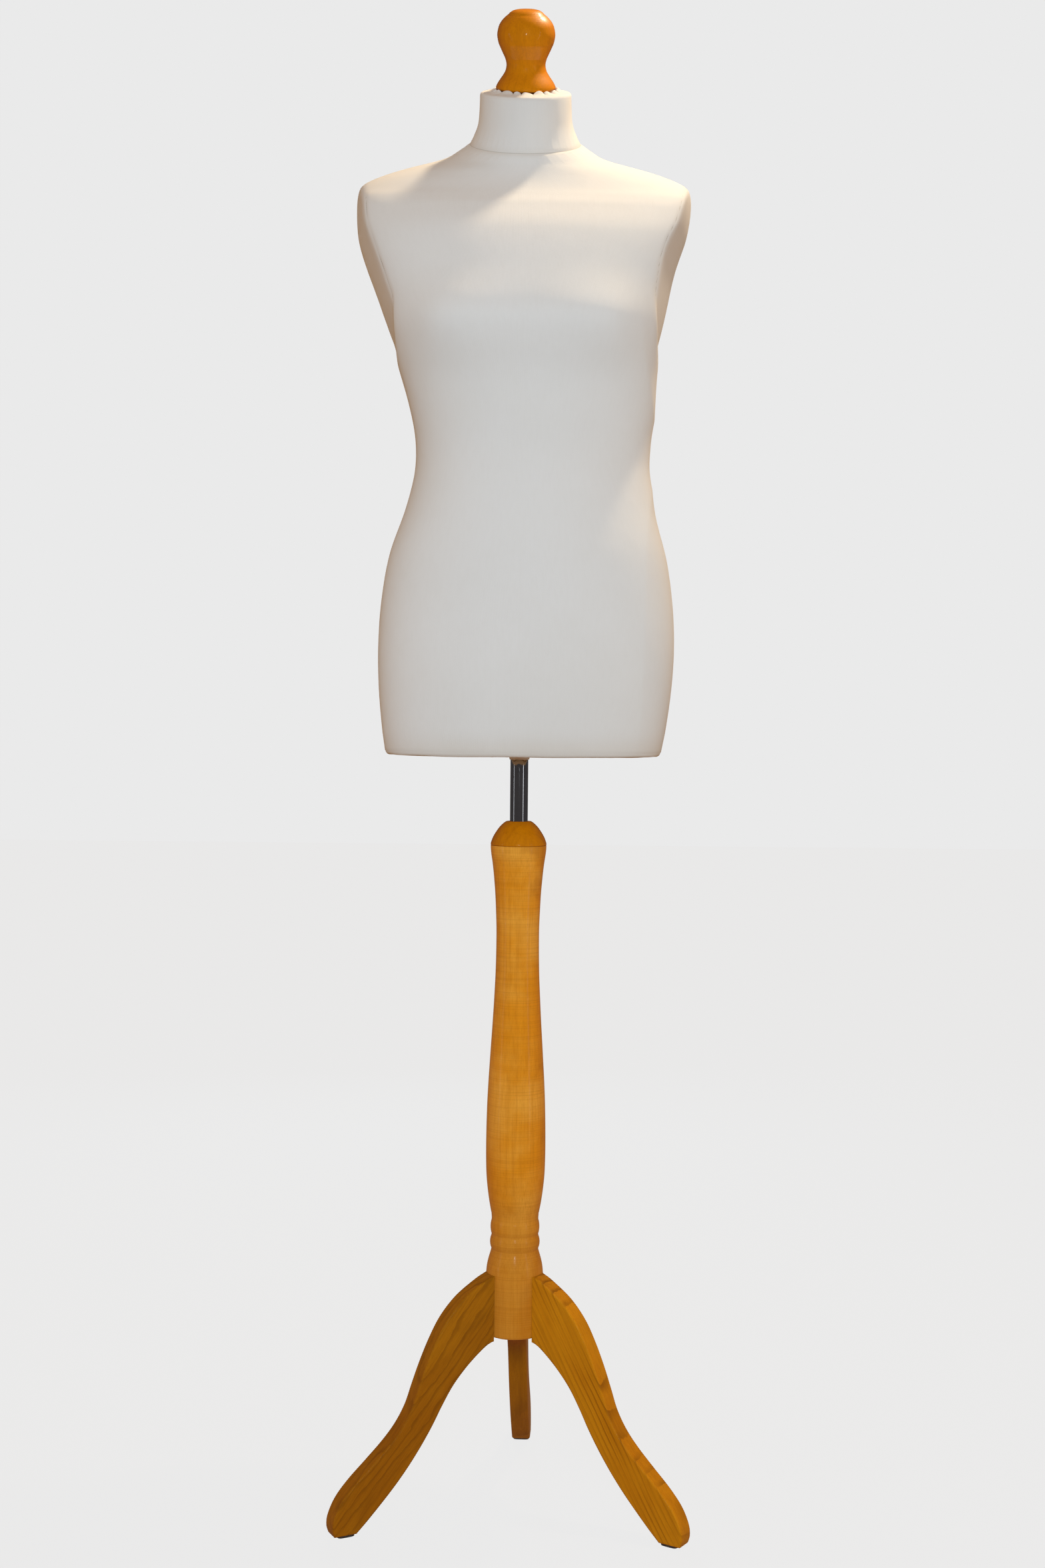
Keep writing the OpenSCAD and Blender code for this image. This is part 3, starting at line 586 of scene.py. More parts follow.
def cloth_attributes(o, rows, columns, around, along, seams=None):
    """Stores the cloth's own directions on the face corners, so that a closed ring has no jump.

    The seams' distances and the amount of painted shade and soiling are stored on the points. All distances are
    in metres.
    """
    faces = quad_faces(rows, columns)
    r, i = faces // columns, faces % columns
    last = np.arange(columns) == columns - 1
    u = around[r, i]
    length = around[:, -1] + (around[:, 1] - around[:, 0])
    wrap = (np.arange(len(faces)) % columns) == columns - 1
    for corner in (1, 2):
        u[wrap, corner] = length[r[wrap, corner]]
    v = along[r, i]
    values = np.stack([u, v, np.zeros_like(u)], -1).reshape(-1, 3) * MM
    made = o.data.attributes.new("cloth", "FLOAT_VECTOR", "CORNER")
    made.data.foreach_set("vector", values.astype(np.float32).ravel())
    if seams is not None:
        made = o.data.attributes.new("seams", "FLOAT_VECTOR", "POINT")
        made.data.foreach_set("vector", seams.astype(np.float32).ravel())


# The lid of the neck from its rim to the hole: radius, height, how much it ruffles and how much it pleats
NECK_LID = [
    (45, 1.9, 0.0, 0.2), (43, 2.1, 0.05, 0.3), (41, 2.2, 0.15, 0.4), (39.2, 2.2, 0.3, 0.5),
    (37.6, 2.2, 0.55, 0.5), (36.4, 2.2, 0.8, 0.5), (35.6, 2.1, 0.97, 0.4), (35.0, 2.1, 1.0, 0.3),
    (34.4, 2.0, 0.95, 0.2), (33.9, 1.9, 0.7, 0.2), (33.3, 1.8, 0.4, 0.2), (32.5, 1.7, 0.15, 0.2),
    (31, 1.6, 0.0, 0.3), (28, 1.5, 0.0, 0.4), (25, 1.4, 0.0, 0.5), (22, 1.3, 0.0, 0.6),
    (20.2, 1.3, 0.0, 0.6), (19.3, 1.1, 0.0, 0.5), (19.0, 0.7, 0.0, 0.3), (19.1, 0.25, 0.0, 0.0),
]
RUFFLE_HIGH = 4.6


def make_cover():
    seam_steps = np.radians([-0.45, -0.15, 0.15, 0.45])
    base = np.arange(336) * 2 * np.pi / 336
    a = np.unique(np.round(np.concatenate([base, seam_steps % (2 * np.pi), np.pi + seam_steps]), 7))
    columns = len(a)
    heights = np.concatenate([
        np.arange(3.4, 560, 3.6),
        np.arange(560, 664, 2.2),
        NECK_SEAM_H + np.array([-2.6, -1.6, -0.8, 0, 0.8, 1.6, 2.6]),
        np.arange(673, TOP_H - 3.2, 3.2),
        [TOP_H - 3.0],
    ])
    surface, plate = torso_points(heights[:, None], a[None, :])
    surface[..., 0] += stand_off(surface)
    normals = grid_normals(surface)

    # signed distances to the seams, in mm
    h_of = np.broadcast_to(heights[:, None], surface.shape[:2])
    step = np.linalg.norm(np.diff(surface, axis=1, append=surface[:, :1]), axis=-1)
    around = np.concatenate([np.zeros((len(heights), 1)), np.cumsum(step, 1)[:, :-1]], 1)
    length = around[:, -1:] + step[:, -1:]
    half = around[:, [int(np.argmin(np.abs(a - np.pi)))]]
    to_left = np.minimum(around, length - around)
    to_side = np.minimum(to_left, np.abs(around - half))
    below_plates = 1 - smoothstep(446, 456, h_of)
    on_shoulders = smoothstep(618, 628, h_of) * (1 - smoothstep(667, 668.5, h_of))
    side_mask = np.maximum(below_plates, on_shoulders)
    rise = np.linalg.norm(np.diff(surface, axis=0, prepend=surface[:1]), axis=-1)
    along = np.cumsum(rise, 0)
    to_neck = np.abs(along - along[[int(np.argmin(np.abs(heights - NECK_SEAM_H)))]])
    plate_on = smoothstep(430, 462, h_of) * (1 - smoothstep(622, 632, h_of))

    def groove(d, depth, width):
        lip = 0.45 * depth * np.exp(-(((d - 2.6 * width) / (1.1 * width)) ** 2))
        return lip - depth * np.exp(-((d / width) ** 2))

    relief = side_mask * groove(to_side, 0.65, 0.8) + groove(to_neck, 0.6, 1.5)
    relief = relief + plate_on * groove(np.abs(plate), 0.25, 1.6)
    drift = waves(a[None, :] + h_of / 90, 3) * waves(h_of / 60 + 2 * np.sin(a[None, :]), 4)
    relief = relief + 0.25 * drift
    # short pull lines that run into the neck seam
    lines = np.maximum(np.sin(a[None, :] * 41 + 2.2 * np.sin(a[None, :] * 3)), 0) ** 2
    pull = np.exp(-((to_neck - 9) / 7.0) ** 2) * lines
    relief = (relief + 0.16 * pull) * smoothstep(3, 24, h_of)
    outer = surface + normals * (CLOTH_OUT + relief)[..., None]

    # the turned hem: round the lower edge, in under the shells, and gathered onto its elastic
    hem_round = 5.0
    edge, _ = torso_points(np.full_like(a, 0.0), a)
    edge[:, 0] += stand_off(edge)
    flat = normals[0] * np.array([1, 1, 0])
    flat = flat / np.linalg.norm(flat, axis=-1, keepdims=True)
    sag = 1.2 * (1 - np.clip(np.abs(edge[:, 0]) / 150, 0, 1) ** 4) + 0.5 * waves(a, 8, 6, 3)
    sag = np.maximum(sag, 0.05)
    hem_rows, hem_along = [], []
    for k in range(1, 9):
        turn = math.pi / 2 * k / 8
        out = CLOTH_OUT - hem_round * (1 - math.cos(turn))
        z = -CLOTH_OUT + hem_round * (1 - math.sin(turn)) - 1.0
        row = edge + flat * out
        row[:, 2] = z + 1.0 - sag * math.sin(turn)
        hem_rows.append(row)
        hem_along.append(-hem_round * turn)
    pleats = 0.5 + 0.5 * np.sin(a * 64 + 3.5 * waves(a, 12, 4, 2))
    for inset in (6, 9, 12.5, 16, 19, 22, 24.5, 26, 26.8):
        row, _ = torso_points(np.full_like(a, 0.0), a, inset)
        row[:, 0] += stand_off(row)
        grow = smoothstep(4, 25, inset)
        row[:, 2] = -CLOTH_OUT - sag * (1 - grow) - grow * 1.5 * pleats
        hem_rows.append(row)
        hem_along.append(-hem_round * math.pi / 2 - inset)
    last_row = hem_rows[-1].copy()
    last_row[:, 2] = -0.5
    hem_rows.append(last_row)
    hem_along.append(hem_along[-1] - 1.5)
    hem = np.array(hem_rows[::-1])

    # the neck's top: over the edge, in to the knob's foot, with a ruffle of gathers round the knob
    top_rows = []
    unit_x, unit_y = np.cos(a), np.sin(a)
    outer_r, round_r = NECK_R + CLOTH_OUT, 3.6
    ruffle = np.abs(np.sin(a * 9.5 + 1.3 * waves(a, 21, 4, 1))) ** 0.5 * (0.80 + 0.26 * waves(a, 22, 5, 2))
    ruffle = np.clip(ruffle, 0.05, 1.15)
    pleat = 0.5 + 0.5 * np.sin(a * 19 + 2.6 * waves(a, 21, 4, 1))
    profile = [(outer_r - round_r * (1 - math.cos(t)), CLOTH_OUT - round_r * (1 - math.sin(t)), 0.0, 0.0)
               for t in np.radians([12, 26, 40, 54, 68, 80, 90])]
    profile += NECK_LID
    for r, z, ruffled, pleated in profile:
        radius = r + ruffled * 0.5 * waves(a, 25, 6, 4)
        height = z + RUFFLE_HIGH * ruffled * ruffle + pleated * 1.1 * (pleat - 0.5) * smoothstep(46, 34, r)
        if r > 40:
            height = height + 0.5 * waves(a, 27, 4, 1) * smoothstep(48.5, 44, r)
        p = np.stack([radius * unit_x, radius * unit_y, height], -1)
        turn = np.array(Matrix.Rotation(neck_tilt, 3, "X"))
        top_rows.append(p @ turn.T + np.array(NECK_TOP))
    top = np.array(top_rows)

    g = np.concatenate([hem, outer, top])
    hem_n, top_n = len(hem), len(top)
    rise = np.linalg.norm(np.diff(g, axis=0, prepend=g[:1]), axis=-1)
    along_all = np.cumsum(rise, 0)
    circumference = np.concatenate([[0], np.cumsum(step[60])[:-1]])[None, :]
    around_all = np.repeat(circumference, len(g), 0)
    gap = np.full(g.shape[:2], 9.0)
    run = along_all.copy()
    inner = np.where(side_mask > 0.5, to_side, 9.0)
    inner = np.minimum(inner, np.where(plate_on > 0.5, np.abs(plate) + 0.2, 9.0))
    near_neck = to_neck < inner
    inner = np.minimum(inner, to_neck + 0.45)
    gap[hem_n:hem_n + len(outer)] = inner
    section = run[hem_n:hem_n + len(outer)]
    section[near_neck] = around_all[hem_n:hem_n + len(outer)][near_neck]
    # painted shade with a little soiling: darker under the hem, at the hem, along the neck seam and more and
    # more over the lid towards the knob's foot
    shade_and_soil = np.zeros(g.shape[:2])
    shade_and_soil[:hem_n] = 0.8
    hem_shade_and_soil, seam_shade_and_soil = np.exp(-((h_of - 3) / 14) ** 2) * 0.8, 0.5 * np.exp(-((to_neck / 4.0) ** 2))
    shade_and_soil[hem_n:hem_n + len(outer)] = hem_shade_and_soil + seam_shade_and_soil
    shade_and_soil[hem_n + len(outer):] = np.linspace(0.1, 0.9, top_n)[:, None]
    seams = np.stack([gap * MM, run * MM, shade_and_soil], -1).reshape(-1, 3)
    faces = quad_faces(*g.shape[:2]).tolist()
    o = mesh_object("jersey_cover_sewn", g.reshape(-1, 3) * MM, faces, matrix=torso_frame)
    cloth_attributes(o, g.shape[0], columns, around_all, along_all, seams)
    return o


cover = make_cover()
cover.data.materials.append(jersey)
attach(cover, "torso")
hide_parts("jersey_cover")


def make_band():
    """The hem's elastic: a ribbed band, puckered where it is stitched to the cloth."""
    columns = 384
    a = np.arange(columns) * 2 * np.pi / columns
    rows, along = [], []
    outline = [
        (27.3, -0.55), (27.0, -1.0), (27.3, -1.5), (29, -1.75), (31, -1.8),
        (33, -1.7), (33.7, -1.35), (33.9, -0.9), (33.6, -0.5), (30.5, -0.35),
    ]
    pucker = 0.4 * np.sin(a * 64 + 3.5 * waves(a, 12, 4, 2))
    for k, (inset, z) in enumerate(outline):
        row, _ = torso_points(np.zeros_like(a), a, inset)
        row[:, 0] += stand_off(row)
        row[:, 2] = z + (pucker - 0.2 if 1 < k < 7 else 0)
        rows.append(row)
        along.append(inset)
    rows.append(rows[0].copy())
    g = np.array(rows)
    step = np.linalg.norm(np.diff(g, axis=1, append=g[:, :1]), axis=-1)
    around = np.concatenate([np.zeros((len(g), 1)), np.cumsum(step, 1)[:, :-1]], 1)
    lengths = np.cumsum(np.linalg.norm(np.diff(g, axis=0, prepend=g[:1]), axis=-1), 0)
    faces = quad_faces(*g.shape[:2]).tolist()
    o = mesh_object("hem_elastic_band", g.reshape(-1, 3) * MM, faces, matrix=torso_frame)
    cloth_attributes(o, g.shape[0], columns, around, lengths)
    return o


band = make_band()
band.data.materials.append(band_elastic)
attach(band, "torso")
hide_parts("hem_elastic")


NECK_CORD_R = 17.9


def make_ring_cord():
    """The drawn elastic in the edge of the neck hole, twisted from three strands."""
    columns, sides = 260, 24
    a = np.arange(columns)[None, :] * 2 * np.pi / columns
    t = np.arange(sides)[:, None] * 2 * np.pi / sides
    r = 0.62 + 0.10 * np.cos(3 * (t + a * 22))
    radius = NECK_CORD_R + r * np.cos(t)
    g = np.stack([radius * np.cos(a), radius * np.sin(a), 1.1 + r * np.sin(t) + 0 * a], -1)
    faces = quad_faces(sides, columns).tolist()
    i = np.arange(columns)
    j = (i + 1) % columns
    top = (sides - 1) * columns
    faces += np.stack([top + i, top + j, j, i], -1).tolist()
    o = mesh_object("neck_elastic_cord", g.reshape(-1, 3) * MM, faces, matrix=neck_frame, bake=True)
    shape = (sides, columns)
    along, across = np.broadcast_to(a * NECK_CORD_R, shape), np.broadcast_to(t * 0.7, shape)
    values = np.stack([along, across, np.zeros(shape)], -1)
    made = o.data.attributes.new("cloth", "FLOAT_VECTOR", "POINT")
    made.data.foreach_set("vector", (values * MM).astype(np.float32).ravel())
    return o


ring_cord = make_ring_cord()
ring_cord.data.materials.append(cord_elastic)
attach(ring_cord, "torso")
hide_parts("neck_elastic")

# ---------------------------------------------------------------- the neck knob

# (height, radius)
KNOB = (
    (3, 27), (4.2, 31), (6, 32.7), (8, 32.4), (11.4, 30.6), (15.5, 27.8), (19.7, 24.8), (23.8, 22.5),
    (30, 21.3), (36.2, 22.6), (40.3, 24.5), (44.4, 26.5), (48.5, 28.4), (52.5, 30.1), (60.7, 31.5),
    (68.8, 30), (72.9, 28), (76.9, 24.8), (81, 19.9), (85, 12),
)


def knob_profile():
    bore = [(0.0, 20.0), (6.0, 20.0), (6.0, 0.6), (6.6, 0.0)]
    foot = rounded([(6.6, 0.0), (16.9, 0.0), (16.9, 2.8), (25.5, 3.0)], 0.8)
    h = np.linspace(3.0, 81.0, 100)
    body = [(float(r), float(z)) for r, z in zip(hermite(KNOB, h, 1), h)]
    top = rounded([body[-1], (17.6, 83.4), (14.2, 85.4), (9.0, 86.5), (0.0, 87.0)], 2.2, 6)
    return bore + foot[1:-1] + body[1:-1] + top


knob = lathe("neck_knob_turned", knob_profile(), 128, neck_frame, bake=True)
sharpen(knob, 50)
knob.data.materials.append(lacquered_knob)
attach(knob, "knob")
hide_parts("neck_knob")

# ---------------------------------------------------------------- the column and its cap

# (height, radius)
SWELL = (
    (137, 26.9), (149, 29.1), (167, 31.5), (185, 32.8), (215, 33.2), (257, 32.4), (281, 31.3), (305, 29.9),
    (329, 28.4), (353, 26.9), (377, 25.6), (401, 24.5), (427, 23.9), (452, 23.8), (466, 24.2), (490, 25.3),
    (508, 26.7), (526, 28.6), (538, 30.4), (547, 31.2),
)
# The foot's shoulder: (radius, height)
SHOULDER = [(32.0, 65), (31.7, 70), (30.9, 77), (29.6, 83), (27.9, 89), (26.7, 93), (26.2, 95.4)]
BORE_R, BUSH_R, CAVITY_R, FOOT_R = 10.6, 13.0, 18.0, 32.0
SPOT_FACE_Y, SPOT_FACE_R = 24.5, 9.2
column_h = (column_high.z - column_low.z) / MM


def column_profile():
    foot = rounded([(CAVITY_R, 0.0), (FOOT_R, 0.0), (FOOT_R, 65.0)], 3.2, 6)
    shoulder = [(float(r), float(z)) for r, z in catmull(SHOULDER, 4)]
    beads = []
    for r, rise, low, high in ((26.3, 1.5, 96, 110), (26.1, 1.25, 112, 128)):
        for k in range(15):
            beads.append((r + rise * math.sin(math.pi * k / 14) ** 0.8, low + (high - low) * k / 14))
    neck = [(26.1, 130.0), (26.3, 133.0), (26.5, 135.6)]
    h = np.linspace(137, column_h, 130)
    long_swell = [(float(r), float(z)) for r, z in zip(hermite(SWELL, h, 1), h)]
    long_swell[-1] = (31.0, column_h)
    inside = [(BUSH_R, column_h), (BUSH_R, column_h - 45), (BORE_R, column_h - 45.5)]
    inside += [(BORE_R, 69.0), (CAVITY_R, 68.5)]
    return foot + shoulder[1:] + beads + neck + long_swell + inside


column_place = Matrix.Translation((axis_x, axis_y, column_low.z))
column = lathe("column_turned", column_profile(), 128, column_place, closed=True)
spot_z = (clamp_z - column_low.z) / MM
for v in column.data.vertices:
    x, y, z = (c / MM for c in v.co)
    if y > SPOT_FACE_Y and math.hypot(x, z - spot_z) < SPOT_FACE_R:
        v.co.y = SPOT_FACE_Y * MM
sharpen(column, 42)
column.data.materials.append(lacquered_column)
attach(column, "stand")
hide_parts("column")

DOME = ((0, 31.2), (3, 30.8), (9, 28.6), (15, 25.2), (21, 20.8), (25, 16.6), (27, 13.6))


def cap_profile():
    h = np.linspace(1.4, 25.6, 34)
    dome = [(float(r), float(z)) for r, z in zip(hermite(DOME, h, 1), h)]
    lip = rounded([dome[-1], (14.0, 26.9), (10.9, 27.0), (10.3, 26.2)], 0.9)
    rim = [(12.9, -4.0), (12.9, 0.1), (29.6, 0.05), (30.5, 0.25), (31.0, 0.75)]
    return rim + dome[:-1] + lip + [(10.3, -4.0)]


cap_place = Matrix.Translation((axis_x, axis_y, column_high.z))
cap = lathe("cap_turned", cap_profile(), 128, cap_place, closed=True)
sharpen(cap, 45)
cap.data.materials.append(lacquered_cap)
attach(cap, "stand")
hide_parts("column_cap")

# ---------------------------------------------------------------- the legs

# The leg's upper and lower outline: (distance from the column's axis, height)
LEG_TOP = (
    (20, 264), (34, 261.5), (47, 255), (69, 240), (87.5, 220), (101, 197), (112.5, 172), (121.5, 149),
    (129.5, 128), (141, 109), (156, 92), (175.5, 74), (195.5, 56), (210.5, 39), (219, 22), (220.5, 10), (218, 2),
)
LEG_UNDER = (
    (20, 193), (34, 188), (46, 180), (63, 165), (79, 147), (92, 127), (104, 106), (117, 86), (131, 67),
    (146, 49), (162, 32), (180, 14), (193, 2),
)
LEG_T, LEG_EASE, LEG_ROOT_R, LEG_STATIONS = 22.0, 2.4, 32.05, 90


def even_stations(curve, start_x, count):
    """Points evenly spaced along a curve, from where it passes start_x to its end."""
    dense = catmull(curve, 24)
    dense = dense[dense[:, 0] >= start_x]
    run = np.concatenate([[0], np.cumsum(np.linalg.norm(np.diff(dense, axis=0), axis=1))])
    at = np.linspace(0, run[-1], count)
    return np.stack([np.interp(at, run, dense[:, 0]), np.interp(at, run, dense[:, 1])], -1)


def make_leg(side):
    """A curved plank with its long edges eased, hollowed at the root to sit on the column."""
    root_x = math.sqrt(LEG_ROOT_R**2 - (LEG_T / 2) ** 2)
    upper, under = (even_stations(c, root_x, LEG_STATIONS) for c in (LEG_TOP, LEG_UNDER))
    outline = np.concatenate([upper, under[::-1]])
    around = np.roll(outline, -1, 0) - np.roll(outline, 1, 0)
    inward = np.stack([around[:, 1], -around[:, 0]], -1)
    inward = inward / np.linalg.norm(inward, axis=1, keepdims=True)
    keep = smoothstep(28, 40, outline[:, 0])
    half = [(LEG_T / 2, LEG_EASE + 0.8)]
    for t in np.radians([0, 18, 36, 54, 72, 90]):
        half.append((LEG_T / 2 - LEG_EASE * (1 - math.cos(t)), LEG_EASE * (1 - math.sin(t))))
    half += [(LEG_T / 4, 0.0)]
    layers = [(-y, d) for y, d in half] + [(0.0, 0.0)] + half[::-1]
    rows = []
    for y, d in layers:
        p = outline + inward * (d * keep)[:, None]
        x = np.maximum(p[:, 0], math.sqrt(LEG_ROOT_R**2 - y * y))
        rows.append(np.stack([x, np.full(len(p), y), p[:, 1]], -1))
    n = len(outline)
    faces = []
    for r in range(len(rows) - 1):
        for i in range(n):
            j = (i + 1) % n
            faces.append([r * n + i, (r + 1) * n + i, (r + 1) * n + j, r * n + j])
    last = (len(rows) - 1) * n
    for i in range(LEG_STATIONS - 1):
        side_face = [i, i + 1, n - 2 - i, n - 1 - i]
        faces.append(side_face)
        faces.append([last + k for k in side_face[::-1]])
    matrix = Matrix.Translation((axis_x, axis_y, 0)) @ Matrix.Rotation(leg_angles[side], 4, "Z")
    o = mesh_object("leg_" + side + "_shaped", np.concatenate(rows) * MM, faces, matrix=matrix)
    sharpen(o, 40)
    o.data.materials.append(lacquered_legs[side])
    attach(o, "stand")
    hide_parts("leg_" + side)


for side in leg_angles:
    make_leg(side)


PAD_AT, PAD_HALF, PAD_T, PAD_STEPS = 204.0, 10.0, 2.0, 64


def make_foot_pad(side):
    """A felt pad with soft, slightly spread edges."""
    rows = []
    for z, grow in ((PAD_T, -0.6), (1.7, -0.1), (1.2, 0.0), (0.6, 0.0), (0.1, -0.3), (0.0, -0.9)):
        ring = []
        for k in range(PAD_STEPS):
            t = 2 * math.pi * k / PAD_STEPS
            c, s = math.cos(t), math.sin(t)
            p = 5.0
            scale = (abs(c) ** p + abs(s) ** p) ** (-1 / p)
            ring.append((PAD_AT + (PAD_HALF + grow) * c * scale, (PAD_HALF + grow) * s * scale, z))
        rows.append(ring)
    points = [p for ring in rows for p in ring] + [(PAD_AT, 0, PAD_T), (PAD_AT, 0, 0.0)]
    n, last = PAD_STEPS, (len(rows) - 1) * PAD_STEPS
    top_centre, low_centre = last + n, last + n + 1
    faces = []
    for r in range(len(rows) - 1):
        for i in range(n):
            j = (i + 1) % n
            faces.append([r * n + i, (r + 1) * n + i, (r + 1) * n + j, r * n + j])
    faces += [[top_centre, i, (i + 1) % n] for i in range(n)]
    faces += [[low_centre, last + (i + 1) % n, last + i] for i in range(n)]
    matrix = Matrix.Translation((axis_x, axis_y, 0)) @ Matrix.Rotation(leg_angles[side], 4, "Z")
    o = mesh_object("pad_" + side + "_felt", np.array(points) * MM, faces, matrix=matrix)
    sharpen(o, 60)
    o.data.materials.append(felt)
    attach(o, "stand")
    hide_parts("foot_pad_" + side)


for side in leg_angles:
    make_foot_pad(side)

# ---------------------------------------------------------------- pole, collar and clamp

pole_h = (pole_high.z - pole_low.z) / MM
r = pole_r / MM
bore = r - 1.2
tube_line = [(bore, pole_h * 0.5), (bore, 0.0), (r, 0.0), (r, pole_h), (bore, pole_h), (bore, pole_h * 0.5)]
tube = rounded(tube_line, 0.35, 3)
pole = lathe("pole_tube", tube, 128, Matrix.Translation((axis_x, axis_y, pole_low.z)))
sharpen(pole, 40)
pole.data.materials.append(chrome)
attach(pole, "mast")
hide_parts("pole")


def clamp_frame():
    """Local Z runs along +Y, out of the back of the column."""
    return Matrix.Translation((axis_x, axis_y, clamp_z)) @ Matrix.Rotation(-math.pi / 2, 4, "X")


STUD_R = 3.95
GRIP_LOW, GRIP_CORE_R, FLUTES, FLUTE_DEPTH = 34.0, 8.5, 12, 1.5
THREAD_PITCH, THREAD_DEPTH = 1.25, 0.28


def fluted(radius, height, angle):
    if height < GRIP_LOW - 0.1 or radius < GRIP_CORE_R:
        return radius
    scallop = max(0.0, math.cos(FLUTES * angle)) ** 1.3
    return radius - FLUTE_DEPTH * scallop * min(1.0, (radius - GRIP_CORE_R) / 1.5)


GRIP = [
    (STUD_R, 31.0), (7.0, 31.0), (7.0, 33.6), (11.5, 34.3), (11.5, 43.0), (9.0, 44.0), (4.0, 44.2), (0.0, 43.6),
]
grip_line = [(STUD_R, 40.9), (STUD_R, 33.0)] + rounded(GRIP, 0.8, 4)
grip = lathe("clamp_grip", grip_line, 180, clamp_frame(), wobble=fluted)
sharpen(grip, 35)
grip.data.materials.append(black_plastic)
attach(grip, "clamp_screw")
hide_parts("clamp_knob")


def thread(radius, height, angle):
    if height < 12.9 or height > 40.5 or radius < 3.8:
        return radius
    return radius - THREAD_DEPTH * (0.5 + 0.5 * math.sin(2 * math.pi * height / THREAD_PITCH + angle))


stud_line = [(0.0, 12.3), (3.3, 12.3), (3.9, 12.9)]
stud_line += [(STUD_R, 13.0 + 27.9 * k / 170) for k in range(171)] + [(3.4, 41.0), (0.0, 41.0)]
stud = lathe("clamp_threaded_stud", stud_line, 48, clamp_frame(), wobble=thread)
stud.data.materials.append(zinc)
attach(stud, "clamp_screw")
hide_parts("clamp_stud")

# ---------------------------------------------------------------- the parts that keep their CAD shape

# Each material and the nodes that take it
KEPT = {
    pale_nylon: ("pole_bush", "pole_socket"),
    brass: ("clamp_insert", "clamp_pad", "knob_socket"),
    black_plastic: ("column_plug", "pole_foot_plug", "pole_top_plug"),
    zinc: ("hanger_bolts", "bolt_washers", "bolt_nuts", "socket_screws"),
    bare_wood: ("leg_dowels", "knob_dowel"),
    plywood: ("base_board", "neck_board"),
    laminate: ("front_shell", "back_shell"),
}
for material, names in KEPT.items():
    for name in names:
        o = nodes[name]
        o.data.materials.clear()
        o.data.materials.append(material)
# Width of the eased edges, in mm
EASED = {
    "clamp_insert": 0.25, "column_plug": 0.5, "pole_socket": 0.4, "knob_socket": 0.3, "base_board": 0.6,
    "neck_board": 0.6,
}
for name, width in EASED.items():
    bevel = nodes[name].modifiers.new("eased_edges", "BEVEL")
    bevel.width = width * MM
    bevel.segments = 2
    bevel.limit_method = "ANGLE"
    bevel.angle_limit = math.radians(40)

# ---------------------------------------------------------------- floor, light and camera

PALE, FLOOR_GLOW = 0.823, 0.804
FLOOR_BOUNCE = rgb(0.28, 0.16, 0.075)


def make_floor():
    corners = [(-12, -12, 0), (12, -12, 0), (12, 12, 0), (-12, 12, 0)]
    o = mesh_object("floor", corners, [(0, 1, 2, 3)], smooth=False)
    s = Shader("pale_floor", Roughness=1.0, Specular_IOR_Level=0.0)
    s.bsdf.inputs["Base Color"].default_value = rgb(0.03, 0.03, 0.03)
    in_view = s.node("LightPath").outputs["Is Camera Ray"]
    s.set("Emission Color", s.mix(in_view, FLOOR_BOUNCE, rgb(FLOOR_GLOW, FLOOR_GLOW, FLOOR_GLOW)))
    s.bsdf.inputs["Emission Strength"].default_value = 1.0
    o.data.materials.append(s.material)


make_floor()

world = bpy.data.worlds.new("studio")
bpy.context.scene.world = world
world.use_nodes = True
tree = world.node_tree
tree.nodes.clear()
path = tree.nodes.new("ShaderNodeLightPath")
output = tree.nodes.new("ShaderNodeOutputWorld")


def background(color, strength):
    made = tree.nodes.new("ShaderNodeBackground")
    made.inputs["Color"].default_value = color
    made.inputs["Strength"].default_value = strength
    return made.outputs[0]


def choose(factor, off, on):
    made = tree.nodes.new("ShaderNodeMixShader")
    tree.links.new(factor, made.inputs[0])
    tree.links.new(off, made.inputs[1])
    tree.links.new(on, made.inputs[2])
    return made.outputs[0]


ambient = background(rgb(0.43, 0.255, 0.12), 1.0)
dim_room = background(rgb(0.055, 0.05, 0.05), 1.0)
backdrop = background(rgb(1, 1, 1), PALE)
seen = choose(path.outputs["Is Glossy Ray"], ambient, dim_room)
seen = choose(path.outputs["Is Camera Ray"], seen, backdrop)
tree.links.new(seen, output.inputs["Surface"])


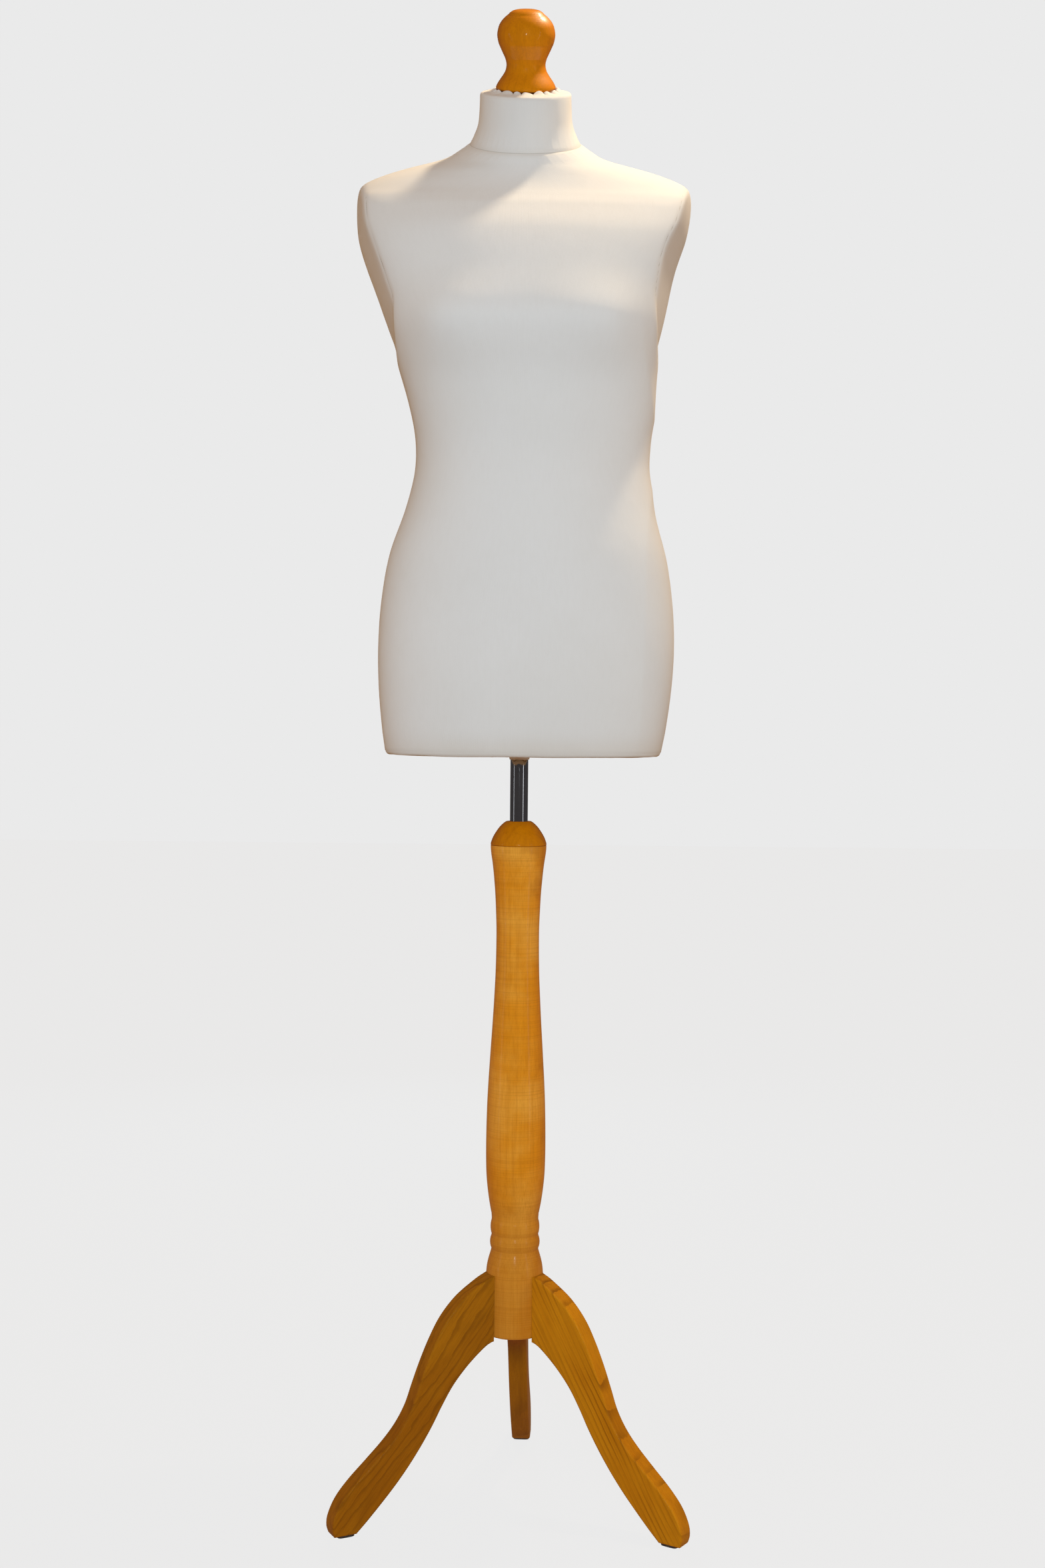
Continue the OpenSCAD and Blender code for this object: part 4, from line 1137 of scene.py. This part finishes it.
def area_light(name, place, target, size, power, color, size_y=None, seen_by="all"):
    """A soft light. seen_by gloss shows it only in reflections, matte only as light on dull surfaces."""
    light = bpy.data.lights.new(name, "AREA")
    light.shape = "RECTANGLE" if size_y else "DISK"
    light.size = size
    if size_y:
        light.size_y = size_y
    light.energy = power
    light.color = color
    o = bpy.data.objects.new(name, light)
    bpy.context.scene.collection.objects.link(o)
    o.location = place
    o.rotation_euler = (Vector(target) - Vector(place)).to_track_quat("-Z", "Y").to_euler()
    o.visible_diffuse = seen_by != "gloss"
    o.visible_glossy = seen_by != "matte"


area_light("front_fill", (0.05, -2.6, 1.20), (0, 0, 1.10), 0.35, 43.8, (0.545, 0.79, 1.0), seen_by="matte")
area_light("front_glint", (0.05, -2.6, 1.20), (0, 0, 1.10), 0.07, 3.0, (0.9, 0.97, 1.0), seen_by="gloss")
for side, x, power in (("left", -2.0, 1.6), ("right", 2.0, 4.0)):
    target = (x * 0.09, -0.04, 1.15)
    area_light("side_fill_" + side, (x, -0.4, 0.6), target, 0.4, power, (0.94, 0.88, 0.80), seen_by="matte")
area_light("back_fill", (-0.35, 2.6, 1.25), (0, 0, 1.05), 0.5, 24.0, (0.62, 0.84, 1.0), seen_by="matte")
area_light("warm_key", (0.42, 0.10, 2.28), (0.03, -0.05, 1.42), 0.10, 13.0, (1.0, 0.84, 0.62))
for side, x, y, width in (("left", -2.35, -0.90, 0.08), ("right", 2.05, -1.48, 0.12)):
    place, power = (x, y, 0.9), 15.0 * width
    area_light("strip_" + side, place, (0, axis_y, 0.9), width, power, (0.95, 0.97, 1.0), 1.8, "gloss")

CAMERA_BACK, CAMERA_H, CAMERA_X = 2.1964, 0.8759, 0.0037
PITCH_DEG, ROLL_DEG, LENS = 1.765, 0.55, 45.35
camera_data = bpy.data.cameras.new("camera")
camera_data.lens = LENS
camera_data.sensor_width = 36
camera = bpy.data.objects.new("camera", camera_data)
bpy.context.scene.collection.objects.link(camera)
camera.matrix_world = (
    Matrix.Translation((CAMERA_X, axis_y - CAMERA_BACK, CAMERA_H))
    @ Matrix.Rotation(math.radians(90 - PITCH_DEG), 4, "X")
    @ Matrix.Rotation(math.radians(ROLL_DEG), 4, "Z")
)
bpy.context.scene.camera = camera
bpy.context.scene.view_settings.view_transform = "Standard"
